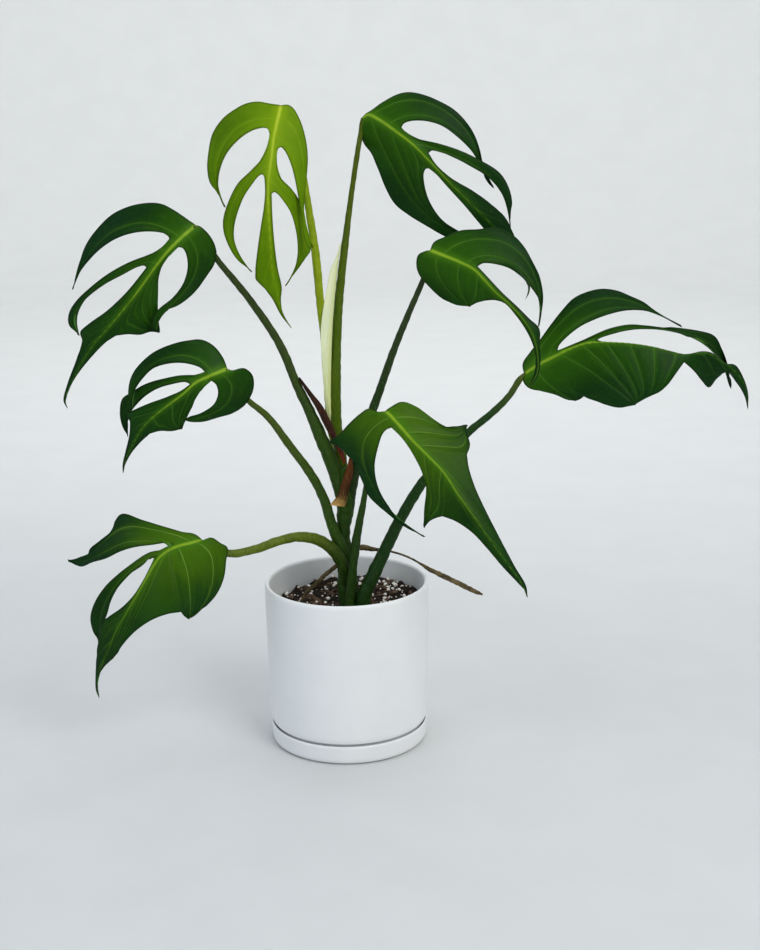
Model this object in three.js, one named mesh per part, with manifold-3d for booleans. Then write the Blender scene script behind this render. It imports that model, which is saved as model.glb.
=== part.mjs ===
// A potted cut-leaf monstera: white pot and saucer, soil, a short shoot, eight stalks and eight lobed blades.
// Millimetres, +Z up, +Y away from the viewer. The origin is the middle of the saucer's flat underside.

import * as THREE from "three";
import { mergeVertices } from "three/addons/utils/BufferGeometryUtils.js";
import Module from "manifold-3d";

const wasm = await Module();
wasm.setup();

// Driving dimensions of the pot, the saucer and the soil
const RIM_HEIGHT = 165.7;
const RIM_RADIUS = 82;
const POT_WALL = 4.6;
const POT_FOOT_HEIGHT = 5.3;
const DRAIN_RADIUS = 9;
const SAUCER_HEIGHT = 19.5;
const SAUCER_RADIUS = 79.3;
const SAUCER_FLOOR = 5;
const SOIL_HEIGHT = 139;
const SOIL_FLOOR = 11.7;
const ROUND_STEPS = 56;

// Clearances and thicknesses
const GAP = 0.35;
const BLADE_THICKNESS = 0.9;
const SHEATH_THICKNESS = 1;

// How finely stalks and blades are divided
const STALK_SIDES = 8;
const STALK_STEP = 22;
const BLADE_STEP = 13;
const BLADE_ROWS = 9;

// The plant was drawn as it looks from one viewpoint, on an upright sheet 760 wide and 950 high. A drawn
// point is [across, down, forward]: millimetres from the sheet's left and top edges, and how far the real
// point stands in front of the upright plane through the pot's axis.
const SHEET_CENTRE = new THREE.Vector2(380, 475);
const SHEET_DISTANCE = 1630;
const EYE = new THREE.Vector3(34.9, -1546.1, 692.3);
const LOOK_DOWN = 0.2647;
const HEAD_TILT = -0.015;
const AHEAD = new THREE.Vector3(0, Math.cos(LOOK_DOWN), -Math.sin(LOOK_DOWN));
const LEVEL_RIGHT = new THREE.Vector3(1, 0, 0);
const LEVEL_UP = new THREE.Vector3(0, Math.sin(LOOK_DOWN), Math.cos(LOOK_DOWN));
const RIGHT = LEVEL_RIGHT.clone().applyAxisAngle(AHEAD, -HEAD_TILT);
const UP = LEVEL_UP.clone().applyAxisAngle(AHEAD, -HEAD_TILT);

// Turns a drawn point into the real one.
function place(drawn) {
  const ray = AHEAD.clone();
  ray.addScaledVector(RIGHT, (drawn.x - SHEET_CENTRE.x) / SHEET_DISTANCE);
  ray.addScaledVector(UP, (SHEET_CENTRE.y - drawn.y) / SHEET_DISTANCE);
  return EYE.clone().addScaledVector(ray, (-drawn.z - EYE.y) / ray.y);
}

const drawnPoint = ([across, down, forward = 0]) => new THREE.Vector3(across, down, forward);

// Colours: [colour, roughness]
const FINISHES = {
  glaze: ["#eceff1", 0.35],
  soil: ["#2b2420", 0.95],
  stem: ["#1f3a12", 0.45],
  stalk: ["#3f5a1c", 0.4],
  newStalk: ["#7d9a26", 0.4],
  blade: ["#1d4a12", 0.35],
  newBlade: ["#6f961c", 0.38],
  paleSheath: ["#dfe3a6", 0.5],
  drySheath: ["#5a3520", 0.8],
  root: ["#8a6a4a", 0.75],
};

const plant = new THREE.Group();

function addPart(name, geometry, finish) {
  const [color, roughness] = FINISHES[finish];
  const mesh = new THREE.Mesh(geometry, new THREE.MeshStandardMaterial({ color, roughness, metalness: 0 }));
  mesh.name = name;
  plant.add(mesh);
}

// Solids are joined and cut as closed meshes whose shared corners are merged.
function toSolid(geometry) {
  const bare = geometry.clone();
  bare.deleteAttribute("normal");
  bare.deleteAttribute("uv");
  const merged = mergeVertices(bare, 1e-4);
  return new wasm.Manifold(new wasm.Mesh({
    numProp: 3,
    vertProperties: new Float32Array(merged.attributes.position.array),
    triVerts: new Uint32Array(merged.index.array),
  }));
}

function toGeometry(solid) {
  const { vertProperties, triVerts } = solid.getMesh();
  const geometry = new THREE.BufferGeometry();
  geometry.setAttribute("position", new THREE.BufferAttribute(vertProperties, 3));
  geometry.setIndex(new THREE.BufferAttribute(triVerts, 1));
  return geometry;
}

// Cuts a solid clear of its neighbours and keeps its largest piece.
function cutClear(geometry, neighbours) {
  let solid = toSolid(geometry);
  for (const neighbour of neighbours) {
    solid = solid.subtract(toSolid(neighbour));
  }
  const pieces = solid.decompose();
  pieces.sort((a, b) => b.volume() - a.volume());
  return toGeometry(pieces[0]);
}

// A closed solid from a list of corners and a list of triangles.
function meshOf(corners, triangles) {
  const geometry = new THREE.BufferGeometry();
  geometry.setFromPoints(corners);
  geometry.setIndex(triangles.flat());
  return geometry;
}

// Pot, saucer and soil

// A turned body whose outline [radius, height] closes on itself or starts and ends on the axis.
function turned(outline, closed) {
  const points = outline.map(([radius, height]) => new THREE.Vector2(radius, height));
  if (closed) {
    points.push(points[0].clone());
  }
  return new THREE.LatheGeometry(points, ROUND_STEPS).rotateX(Math.PI / 2);
}

const INNER_RADIUS = RIM_RADIUS - POT_WALL;
// The pot's foot is rounded in so that it stands inside the saucer's lip.
const POT_OUTLINE = [
  [DRAIN_RADIUS, POT_FOOT_HEIGHT],
  [66, POT_FOOT_HEIGHT],
  [73, POT_FOOT_HEIGHT + 2.7],
  [76, 15],
  [76.5, SAUCER_HEIGHT + 1],
  [78.3, SAUCER_HEIGHT + 4.5],
  [79.3, SAUCER_HEIGHT + 10],
  [RIM_RADIUS - 0.6, 120],
  [RIM_RADIUS, RIM_HEIGHT - 4],
  [RIM_RADIUS - 0.6, RIM_HEIGHT - 1.2],
  [RIM_RADIUS - 2, RIM_HEIGHT],
  [INNER_RADIUS + 1.4, RIM_HEIGHT - 0.2],
  [INNER_RADIUS, RIM_HEIGHT - 2],
  [INNER_RADIUS - 0.6, 120],
  [74.3, 34],
  [72, 20],
  [66, 12.4],
  [58, SOIL_FLOOR - 0.4],
  [DRAIN_RADIUS, SOIL_FLOOR - 0.4],
];
const SAUCER_OUTLINE = [
  [0, 0],
  [73, 0],
  [77, 1.2],
  [78.4, 4],
  [SAUCER_RADIUS, SAUCER_HEIGHT - 2],
  [SAUCER_RADIUS - 0.5, SAUCER_HEIGHT - 0.3],
  [SAUCER_RADIUS - 1.3, SAUCER_HEIGHT],
  [SAUCER_RADIUS - 2, SAUCER_HEIGHT - 0.6],
  [77, SAUCER_HEIGHT - 3],
  [76.6, 10],
  [74.4, 6.6],
  [70, SAUCER_FLOOR],
  [0, SAUCER_FLOOR],
];
const potShape = turned(POT_OUTLINE, true);
const saucerShape = turned(SAUCER_OUTLINE, false);

// The soil's surface is higher at the back right, with rounded lumps of several sizes.
function soilTop(x, y) {
  const slope = 0.05 * x + 0.045 * y;
  const lumps = 1.5 * Math.sin(x * 0.21 + 1.3) * Math.sin(y * 0.23 + 0.4);
  const crumbs = 1.1 * Math.sin(x * 0.53 + y * 0.31) * Math.cos(y * 0.47 - x * 0.22);
  return SOIL_HEIGHT + slope + lumps + crumbs;
}

const SOIL_RINGS = 9;
const SOIL_SECTORS = 36;
// The soil's side follows the pot's inner wall, as [radius, height] from its floor up.
const SOIL_SIDE = [
  [57.6, SOIL_FLOOR],
  [65.7, 12.9],
  [71.5, 20.3],
  [73.8, 34.2],
  [INNER_RADIUS - 1.1, 120],
];

function soilShape() {
  const corners = [new THREE.Vector3(0, 0, SOIL_FLOOR)];
  const ring = (radius, height) => {
    for (let i = 0; i < SOIL_SECTORS; i += 1) {
      const turn = (2 * Math.PI * i) / SOIL_SECTORS;
      const x = radius * Math.cos(turn);
      const y = radius * Math.sin(turn);
      corners.push(new THREE.Vector3(x, y, height ?? soilTop(x, y)));
    }
  };
  SOIL_SIDE.forEach(([radius, height]) => ring(radius, height));
  const topRadius = INNER_RADIUS - 0.9;
  for (let i = SOIL_RINGS; i > 0; i -= 1) {
    ring((topRadius * i) / SOIL_RINGS);
  }
  corners.push(new THREE.Vector3(0, 0, soilTop(0, 0)));
  const rings = SOIL_SIDE.length + SOIL_RINGS;
  const triangles = [];
  const corner = (row, sector) => 1 + row * SOIL_SECTORS + (sector % SOIL_SECTORS);
  for (let i = 0; i < SOIL_SECTORS; i += 1) {
    triangles.push([0, corner(0, i + 1), corner(0, i)]);
    for (let row = 0; row < rings - 1; row += 1) {
      triangles.push([corner(row, i), corner(row, i + 1), corner(row + 1, i + 1)]);
      triangles.push([corner(row, i), corner(row + 1, i + 1), corner(row + 1, i)]);
    }
    triangles.push([corner(rings - 1, i), corner(rings - 1, i + 1), corners.length - 1]);
  }
  return meshOf(corners, triangles);
}

// Stalks, the shoot and the roots

// Each stalk is drawn along its middle line, [across, down, forward, radius].
const SHOOT = [
  [350, 628, 0, 9],
  [349, 603, 0, 10.5],
  [347.5, 578, 0, 10],
  [346, 556, 0, 8],
  [343.5, 534, 0, 6],
  [345, 514, 0, 8.2],
  [346, 490, 0, 9.6],
  [343, 468, 0, 7.6],
];
const STALKS = {
  petiole_1: [
    [342, 468, -10, 3.4],
    [331, 430, -17, 3.6],
    [328, 388, -15, 3.8],
    [325, 345, -9, 3.8],
    [320, 300, -2, 3.9],
    [315.8, 256, 0, 4],
    [309.5, 214, 3, 3.5],
    [304, 180, 4, 3.1],
    [297, 146, 6, 2.6],
    [290, 120, 9, 2.2],
    [282, 107, 15, 2],
  ],
  petiole_2: [
    [343, 474, -4, 6],
    [336.5, 425, -8, 5.4],
    [335.6, 390, -10, 5.3],
    [336.6, 340, -14, 4.6],
    [338.8, 302, -18, 4.3],
    [342, 270, -21, 3.9],
    [344.6, 248, -24, 3.6],
    [350.6, 200, -28, 2.6],
    [357.9, 150, -31, 2.5],
    [361, 131, -33, 2.4],
    [362, 118, -30, 2.1],
  ],
  petiole_3: [
    [343, 500, 1, 6.5],
    [333, 466, 4, 7],
    [322, 440, 6, 6.6],
    [310, 412, 6, 5.2],
    [297, 385, 5, 4.4],
    [280, 345, 4, 4],
    [250, 300, 3, 3.5],
    [216, 258, 3, 2.9],
    [205, 241, 9, 2.6],
    [194, 226.5, 19, 2.1],
  ],
  petiole_4: [
    [349, 562, 3, 6],
    [339.5, 543, 6, 6.2],
    [331, 522, 9, 5.2],
    [324.3, 500, 12, 4.8],
    [312, 476, 17, 4.4],
    [290, 446, 25, 3.9],
    [268, 417, 33, 3.3],
    [248, 400, 38, 2.7],
    [238, 386, 44, 2.4],
    [226, 370, 54, 2],
  ],
  petiole_5: [
    [347, 588, 4, 5.6],
    [344, 568, 9, 6],
    [334, 551, 15, 6.2],
    [319, 540.3, 22, 5.6],
    [300, 536.8, 31, 4.9],
    [280, 540.5, 40, 4.4],
    [256, 549, 50, 4.2],
    [230, 553.5, 59, 3.8],
    [216, 548, 63, 3.1],
    [203, 541, 63, 2.2],
  ],
  petiole_6: [
    [348, 628, 17, 4.8],
    [350, 600, 17, 4.6],
    [352.8, 567, 17, 4.3],
    [354.8, 553, 19, 4.4],
    [356.3, 540, 21, 4.4],
    [358.2, 529, 24, 4],
    [360.3, 518, 27, 3.6],
    [362.6, 506.7, 30, 3.2],
    [364.6, 495.6, 34, 2.7],
    [368, 476, 43, 2.8],
    [374, 448, 57, 2.8],
    [380, 426, 68, 2.6],
    [386, 412.5, 79, 2.2],
  ],
  petiole_7: [
    [348.5, 512, 1, 5.2],
    [352.5, 480, 3, 6],
    [361, 450, 3, 5],
    [369.3, 420, 2, 4.5],
    [379.5, 391, 0, 4],
    [395, 347, -3, 3.5],
    [411, 308, -5, 3],
    [423, 280, -3, 2.6],
    [427, 266, 2, 2.4],
    [431, 251.5, 13, 2],
  ],
  petiole_8: [
    [364, 628, 15, 7],
    [363, 600, 15, 7.4],
    [371, 580, 13, 7],
    [386, 548, 9, 6.2],
    [402, 516, 5, 5.6],
    [423, 482, 0, 5],
    [446, 456, -6, 4.2],
    [470, 431, -13, 3.8],
    [492, 413, -20, 3.5],
    [509, 396, -27, 3.2],
    [518, 382, -32, 3.3],
    [525, 373, -34, 2.4],
  ],
};
const ROOTS = {
  aerial_root_right: [
    [352, 547, -2, 2.6],
    [366, 547.8, -6, 3],
    [371, 548.8, -7, 2.5],
    [377, 549.6, -8, 1.8],
    [391, 551.5, -8, 1.1],
    [408, 557, -7, 1],
    [421, 564, -6, 1.1],
    [428, 568.5, -5, 2.2],
    [440, 574.5, -3, 2.6],
    [460, 584, 0, 2.6],
    [474, 591, 3, 2.4],
    [482.5, 594.5, 4, 2],
  ],
  aerial_root_left: [
    [345, 559, 2, 2.3],
    [337, 565.5, 0, 2.3],
    [325, 575, -3, 2.2],
    [316, 584, -4, 2.1],
    [307, 592, -4, 2],
    [300, 603, -4, 1.7],
  ],
};

// A closed round-sectioned solid along a smooth line, grown outwards by a clearance where one is given.
function stalk(drawn, grow = 0, step = STALK_STEP, sides = STALK_SIDES) {
  const line = new THREE.CatmullRomCurve3(drawn.map((point) => place(drawnPoint(point))), false, "centripetal");
  const steps = Math.max(4, Math.round(line.getLength() / step));
  const radii = new THREE.CatmullRomCurve3(drawn.map(([, , , radius], i) => new THREE.Vector3(i, radius, 0)));
  const frames = line.computeFrenetFrames(steps, false);
  const corners = [];
  const triangles = [];
  for (let i = 0; i <= steps; i += 1) {
    const u = i / steps;
    const centre = line.getPointAt(u);
    const radius = radii.getPoint(line.getUtoTmapping(u)).y + grow;
    if (i === 0 || i === steps) {
      centre.addScaledVector(frames.tangents[i], i === 0 ? -grow : grow);
    }
    for (let side = 0; side < sides; side += 1) {
      const turn = (2 * Math.PI * side) / sides;
      const corner = centre.clone().addScaledVector(frames.normals[i], radius * Math.cos(turn));
      corners.push(corner.addScaledVector(frames.binormals[i], radius * Math.sin(turn)));
    }
  }
  for (let i = 0; i < steps; i += 1) {
    for (let side = 0; side < sides; side += 1) {
      const a = i * sides + side;
      const b = i * sides + ((side + 1) % sides);
      triangles.push([a, b, b + sides]);
      triangles.push([a, b + sides, a + sides]);
    }
  }
  for (let side = 1; side < sides - 1; side += 1) {
    triangles.push([0, side + 1, side]);
    triangles.push([steps * sides, steps * sides + side, steps * sides + side + 1]);
  }
  return meshOf(corners, triangles);
}

// Blades

// Each blade is drawn by its midrib, from the stalk to the tip, and by the outline of its two halves. An
// outline runs from the stalk in turns out to a lobe's tip and back to the bottom of the next cut, the last
// run going to the blade's own tip. Each cut's foot is where its vein leaves the midrib, as a share of the
// midrib's length. A point's third number is how far it stands forward of the blade's own curve.
// forward: where the midrib's base, middle and tip stand. fall: how each half slopes away from the midrib,
// in mm forward for each mm outward, and how that slope bends, for each 100 mm.
const BLADES = {
  leaf_1: {
    midrib: [
      [281, 105], [276.2, 126], [273.6, 138], [271, 160], [268.6, 178], [267.8, 194], [268.6, 215],
      [270.3, 241], [272.3, 270], [277, 292], [283, 313], [291.5, 328.5],
    ],
    forward: [15, 36, 22],
    halves: [
      {
        fall: [-0.2, -0.3],
        feet: [0.13, 0.32],
        outline: [
          [[271, 104], [258, 102], [246, 104], [234.6, 110], [223, 119], [213, 134], [208.8, 153], [207.7, 168],
            [210, 182], [217, 193.5], [225.6, 208.2]],
          [[220.6, 197], [218.7, 183], [221, 168], [227.5, 153], [239.2, 139.6], [251, 131.5], [262.5, 128],
            [267.5, 128.8], [269.6, 133]],
          [[268.8, 142], [266.5, 150], [261.5, 158.5], [250, 171.5], [238, 184], [228.5, 203], [223.8, 220],
            [224.6, 233], [230.8, 249], [238, 260], [252.6, 272.7]],
          [[242.3, 260.4], [235.4, 246], [233.8, 234], [236, 219], [243.8, 198], [253, 184], [259.5, 175.6],
            [262.8, 174.4], [264.5, 177.5]],
          [[265.2, 191], [264, 207], [261, 227], [257.8, 250], [255.6, 272], [256.3, 279.6], [264, 287.5],
            [272.5, 299], [281, 315]],
        ],
      },
      {
        fall: [-0.2, -0.3],
        feet: [0.19, 0.39],
        outline: [
          [[288, 105], [293, 108.5], [300, 121], [305.5, 140], [307.5, 156], [306.3, 176], [305, 200, 2],
            [304.3, 222, 4], [306.5, 239, 7], [313.5, 247.5, 10]],
          [[309, 249, 10], [304, 239, 7], [301.8, 221, 4], [299, 203, 2], [294.6, 178], [289, 159.5],
            [284.5, 150.5], [280.8, 147], [277.8, 149]],
          [[276.3, 158], [277.7, 170.4], [282, 179], [291, 189, -1], [299, 202, -5], [303.5, 222, -8],
            [308, 240, -8], [310, 250, -6], [302, 264.5], [294.5, 274.5], [285, 286.6]],
          [[291.5, 275.5], [296, 262], [297.3, 250], [295.4, 230], [290.5, 213], [283, 201], [277.5, 194],
            [274, 192], [271.5, 194]],
          [[272.3, 217], [274.3, 243], [277.5, 268], [281.6, 287.5], [280.8, 300], [283, 314]],
        ],
      },
    ],
  },
  leaf_2: {
    midrib: [
      [362, 117], [368, 114.5], [382.7, 122], [398, 133], [411, 142.8], [428.5, 160.2], [448, 181],
      [470, 202.7], [490.6, 223.4], [506, 239], [519, 252],
    ],
    forward: [-30, -6, -16],
    halves: [
      {
        fall: [-0.2, -0.25],
        feet: [0.18, 0.345],
        outline: [
          [[371, 110.5], [385, 101.5], [398, 94.8], [409, 92.8], [424, 95.5], [440, 102], [455, 111], [468, 124.5],
            [476.5, 138.5], [480.8, 151], [484, 166, -4], [488, 178, -8], [493.8, 188.6, -9]],
          [[488.5, 183.5, -9], [484, 174, -8], [479, 164, -4], [470, 150], [456, 136], [441, 125.5],
            [424, 121], [410, 121.3], [403.5, 124], [401.5, 127.5]],
          [[405.5, 132.6], [418, 138.5], [440, 144], [464, 152.5], [484, 162.5, 1], [500, 174], [508, 187],
            [511.8, 202], [511, 215], [510.3, 231]],
          [[508.5, 214], [505, 200], [498.5, 188.5], [485, 175.5, 1], [467, 164.5], [450, 156.5], [438, 151.5],
            [431.5, 150.8], [428.5, 153]],
          [[436, 164.5], [451, 178], [472, 190.5], [490, 203.5], [505, 217.5], [511.5, 230], [517, 243]],
        ],
      },
      {
        fall: [-0.2, -0.25],
        feet: [0.32],
        outline: [
          [[360.3, 122], [360.4, 131], [364, 142.5], [372, 155], [378, 168], [385.5, 187], [395, 203.5],
            [409, 215], [426, 225.5], [446, 236.5], [462, 242], [481, 243]],
          [[468, 235.5], [453, 227.3], [445, 222], [436, 212], [428, 197], [424.3, 182], [424, 173],
            [426, 168.8], [429, 168.4]],
          [[436, 174], [445, 184], [455, 195], [465, 206], [478, 221.5], [489, 234], [504, 244]],
        ],
      },
    ],
  },
  leaf_3: {
    midrib: [
      [196, 225], [183, 236], [168.5, 250.5], [154, 269], [139, 290], [124, 309], [108, 328], [93, 345],
      [79, 368], [68, 391], [65, 401], [67.5, 408.5],
    ],
    forward: [18, 46, 34],
    halves: [
      {
        fall: [-0.22, -0.25],
        feet: [0.12, 0.28],
        outline: [
          [[189, 220.5], [174, 210.5], [162, 204.5], [151, 203.2], [132, 206], [113, 214.5], [99, 227.5],
            [87, 244], [79.5, 262], [74, 281], [72.4, 290.6]],
          [[78, 277], [84.5, 266.5], [99, 250.5], [117, 238.5], [137, 232.5], [156, 232], [166, 234.5],
            [169.6, 239]],
          [[162, 248], [146, 255.5], [127, 263.5], [107, 275], [90, 288.5], [76, 302.5], [69.5, 314],
            [69.5, 325], [80, 336.2]],
          [[74.5, 329], [72, 321], [75.5, 310.5], [89, 296.5], [106, 284], [124, 274.5], [138, 267],
            [144.5, 265.6], [146.5, 267.5]],
          [[140, 276], [126, 293], [107, 311], [89, 324], [80.8, 332], [82.3, 341], [76, 361], [67.5, 384],
            [63.6, 401]],
        ],
      },
      {
        fall: [-0.22, -0.25],
        feet: [0.115, 0.47],
        outline: [
          [[201, 227], [211, 238], [216, 252], [214, 263.5], [206, 276.5], [194.5, 292], [179, 304.5],
            [163.5, 312.5, 3], [154.5, 319, 6], [153.2, 325, 7], [156, 331.2, 7]],
          [[151.4, 327, 7], [152, 318, 6], [158.5, 309, 3], [172, 298], [183, 283], [187.5, 267], [186, 254],
            [182.5, 248], [178.5, 247]],
          [[171, 251], [164, 261], [159.3, 276], [157.6, 300, -3], [158, 317, -4], [159.2, 332, -4]],
          [[150, 331.5, -3], [140, 334.5], [128, 334], [116, 335.4]],
          [[106, 342], [90, 358.5], [75, 378], [67, 394], [65.8, 403]],
        ],
      },
    ],
  },
  leaf_4: {
    midrib: [
      [227.5, 368.5], [213, 374.5], [196, 382.5], [182, 395], [167, 406], [152, 418], [141, 430], [132, 446],
      [126, 459], [122.8, 473.5],
    ],
    forward: [53, 78, 62],
    halves: [
      {
        fall: [-0.25, -0.3],
        feet: [0.14, 0.275],
        outline: [
          [[222.5, 357.5], [212.5, 345.5], [201, 340], [186.5, 340.8], [169.5, 345.5], [153, 353.5],
            [139.5, 365], [131.5, 378], [128.3, 394, 3], [129.5, 403, 5], [132.8, 409.6, 6]],
          [[133, 401, 6], [135, 390, 3], [142.5, 378.5], [154.5, 368], [170, 363.5], [187, 363.8],
            [200, 367.6], [204.8, 371.8]],
          [[196, 374.5], [177, 376], [159, 379.5], [143.5, 385, -2], [132, 392.5, -6], [123, 398.5, -8],
            [120.3, 410, -10], [122, 424, -12], [128.3, 437.5, -13]],
          [[127.6, 423, -13], [130.5, 413, -11], [137, 404.5, -7], [146, 396, -3], [159, 388.5], [175, 383.5],
            [186, 382.2], [190, 384.2]],
          [[181.5, 390.5], [167, 397], [149, 403.5], [134, 410], [126.2, 414], [130, 421.5], [129.6, 434],
            [126, 450], [122.8, 464]],
        ],
      },
      {
        fall: [-0.25, -0.2],
        feet: [0.13, 0.66],
        outline: [
          [[233, 370.8], [243.5, 368.2], [251.5, 374], [253.6, 383], [251.5, 393.5], [244, 405], [231, 413.5],
            [216, 418.5, 1], [200, 421.8, 3], [190, 422.2, 6], [183.2, 420.6, 7]],
          [[188, 416.8, 6], [201, 412.5, 3], [213.5, 404.5], [218, 393], [216, 384.5], [211.5, 380.6]],
          [[206, 384], [197, 397.5], [189.5, 411, -2], [184.5, 421, -3], [181.5, 428.4, -3]],
          [[172, 430.8], [160, 430.6], [150, 433.2]],
          [[141, 441.5], [131, 453.5], [125, 465]],
        ],
      },
    ],
  },
  leaf_5: {
    midrib: [
      [203, 540], [190, 543], [178, 546], [168, 550.5], [160, 556.5], [153.5, 565.5], [147, 577], [138, 593],
      [129, 608], [118, 627], [110, 644.5], [101.5, 666], [97, 683], [99, 698],
    ],
    forward: [63, 82, 66],
    halves: [
      {
        fall: [-0.75, 0.35],
        feet: [0.18, 0.3],
        outline: [
          [[195, 534.5], [181, 531.5], [163, 526.5], [143, 520.5], [122, 514.2], [115.5, 521], [111, 531],
            [99.5, 541], [89.5, 549.5], [84.5, 561.5], [76, 562.8], [67.5, 560]],
          [[75, 565], [82, 566.8], [92, 562.5], [106, 558.5], [120, 551.5], [135, 547], [153, 545],
            [166, 542.4], [172.3, 544]],
          [[162, 549.5, -2], [149, 553, -4], [135, 562, -6], [119, 574, -8], [105, 587.5, -12], [95, 603, -16],
            [91, 617, -18], [93, 630, -18], [98.5, 641.5, -18]],
          [[103, 626, -18], [108, 612, -16], [110.5, 602.5, -14], [118, 588, -10], [130, 574, -8],
            [142, 566, -6], [151, 557.8, -3], [155, 556.2]],
          [[150, 567], [143, 580.5], [133.5, 595.5], [122, 607.5], [109.5, 616.5], [102.5, 622.5], [99.3, 635],
            [97, 655], [95.6, 676], [96, 690]],
        ],
      },
      {
        fall: [0.6, -0.6],
        feet: [0.17],
        outline: [
          [[212, 538], [221, 543.5], [227.5, 547.5], [226, 560], [224, 576], [217, 592.5], [206, 605.5],
            [194, 617], [188, 619.7]],
          [[183.8, 616], [181, 612.2]],
          [[168, 614], [152, 620], [136, 631], [123, 645], [116, 655.5], [104, 667], [98.3, 677], [97.6, 688]],
        ],
      },
    ],
  },
  leaf_6: {
    midrib: [
      [385, 411], [389, 414], [400, 426], [414, 442], [429, 457], [444, 473], [457, 493], [472, 514],
      [488, 537], [506, 562], [520, 581], [527.5, 597.5],
    ],
    forward: [79, 116, 132],
    halves: [
      {
        fall: [-0.35, 0],
        feet: [0.07, 0.4],
        outline: [
          [[378, 412], [369, 408.5], [360, 414], [349, 424], [339.5, 434.5], [329.5, 442], [339, 446.2],
            [348, 455], [355.5, 466.5], [363, 482], [368.5, 495], [377.5, 504.5], [393, 518.5], [408, 528.5],
            [425.6, 537.4]],
          [[413, 529.3], [397, 517], [386.5, 503], [378, 485], [375, 465.5], [378, 448], [383, 433.5],
            [387.5, 428.8], [391.8, 427.4]],
          [[398.5, 431], [409.5, 444], [419.5, 460], [424.5, 474], [425.6, 492], [424, 513], [424.3, 527.6]],
          [[430, 521], [437, 517.5], [443, 516]],
          [[456, 521], [472, 532], [487, 548], [503, 567], [519, 584], [526, 592]],
        ],
      },
      {
        fall: [-0.45, -0.2],
        feet: [0.24],
        outline: [
          [[391, 407], [402, 402.3], [416, 407], [430, 416.5], [443, 425.5], [456, 426.3], [467, 425.4]],
          [[466.5, 432], [469.8, 445], [466.6, 455]],
          [[468.5, 468], [474.5, 487], [486, 512], [500, 539], [515, 567], [526, 586]],
        ],
      },
    ],
  },
  leaf_7: {
    midrib: [
      [430, 250], [444, 255.5], [460, 262], [474, 269.5], [486, 281.5], [496.5, 293], [508, 303], [522, 318],
      [533, 335], [537.8, 356], [537, 374], [528, 388],
    ],
    forward: [13, 38, 46],
    halves: [
      {
        fall: [-0.3, -0.2],
        feet: [0.27],
        outline: [
          [[434, 242.5], [443, 238], [461, 230.8], [478, 229.6], [495, 228.3], [513, 236], [524, 247.5],
            [533.5, 263], [540.5, 279], [543.7, 295], [542.5, 311], [538.3, 327.5, -5]],
          [[540.8, 308], [538.5, 299.5], [533, 290.5], [526.5, 282.5], [521, 276.5], [511, 269], [497, 264.5],
            [483, 263.3], [477.5, 266.3]],
          [[488, 277.5], [502, 292.5], [516, 305.5], [529, 318.5], [539, 328.6], [539.6, 345], [540.4, 362],
            [537, 378]],
        ],
      },
      {
        fall: [-0.2, -0.3],
        feet: [0.33],
        outline: [
          [[424.5, 251.5], [418.5, 255], [416.8, 265], [420, 275], [431, 288], [443, 298.5], [456, 305.5],
            [470, 307]],
          [[477, 302.8], [485, 300.4]],
          [[495, 300], [505, 303.5], [516, 315.5], [524.5, 327.5], [531.5, 341], [535.6, 356], [534.8, 371],
            [531, 382]],
        ],
      },
    ],
  },
  leaf_8: {
    midrib: [
      [524, 374], [533, 368], [542, 362.5], [552, 357.5], [563, 352], [574, 346.8], [585, 343.2],
      [597, 341.8], [610, 341.8], [625, 342.6], [640, 344.3], [655, 347], [670, 350.8], [684, 354],
      [697, 353], [708, 353.4], [720, 360], [732, 368.5], [742, 380], [747, 393], [748, 409.5],
    ],
    forward: [-34, -16, -30],
    halves: [
      {
        fall: [-0.7, 0.2],
        feet: [0.155, 0.305],
        outline: [
          [[523, 364], [530, 353], [539.5, 341], [551, 325], [562, 311], [574, 298.5], [588, 292], [602, 289.2],
            [617, 291], [631, 296.5], [645, 303], [658, 312], [671, 320.5], [682.6, 326.8]],
          [[667, 319], [655, 313.5], [641, 310.5], [625, 310.8], [609, 314.5], [594, 320], [580, 327],
            [567, 337], [559, 345.5], [557.5, 350.4]],
          [[568, 346.5], [582, 340.5], [596, 334], [611, 328.5], [628, 325], [646, 325], [664, 327],
            [682, 329, -3], [700, 331.5, -6], [714, 336, -9], [723, 350, -12], [728.6, 366, -14],
            [731, 388.2, -14]],
          [[727.4, 372, -14], [721, 360, -12], [709, 345.5, -9], [698, 337.5, -6], [687, 337, -3],
            [676, 332.5], [662, 328.8], [645, 329], [627, 331], [610, 335], [600, 338.2], [597, 340.2]],
          [[611, 343.5, -6], [630, 346, -10], [655, 351, -10], [684, 356.6, -6], [700, 351.6, -4],
            [712, 353, -2], [724, 363.4], [735, 365], [743, 377], [748, 393]],
        ],
      },
      {
        fall: [0.65, -0.7],
        feet: [0.09, 0.645],
        outline: [
          [[523.4, 381.5], [529, 388], [542, 391.8], [556, 395.5], [568, 400.3], [575.5, 401.2]],
          [[579.5, 399.4], [583.6, 396.8]],
          [[595, 400.5], [607, 405.5], [621, 407.2], [634, 405.2]],
          [[646, 398.5], [659, 392.5], [668, 384.5], [675, 375], [684, 362.4]],
          [[693, 370.5, -8], [702, 381, -20], [708.6, 387, -24], [716, 378.4, -20], [726, 371.4, -6],
            [737, 383.5], [744.5, 396]],
        ],
      },
    ],
  },
};

// A smooth line through drawn points.
function smooth(points) {
  return new THREE.CatmullRomCurve3(points, false, "centripetal");
}

// The share of a line's length where it comes closest to a point, and how close it comes.
function nearestShare(samples, point) {
  let best = 0;
  let distance = Infinity;
  samples.forEach((sample, i) => {
    const here = Math.hypot(sample.x - point.x, sample.y - point.y);
    if (here < distance) {
      best = i;
      distance = here;
    }
  });
  return { share: best / (samples.length - 1), distance };
}

const MIDRIB_SAMPLES = 60;

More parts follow.
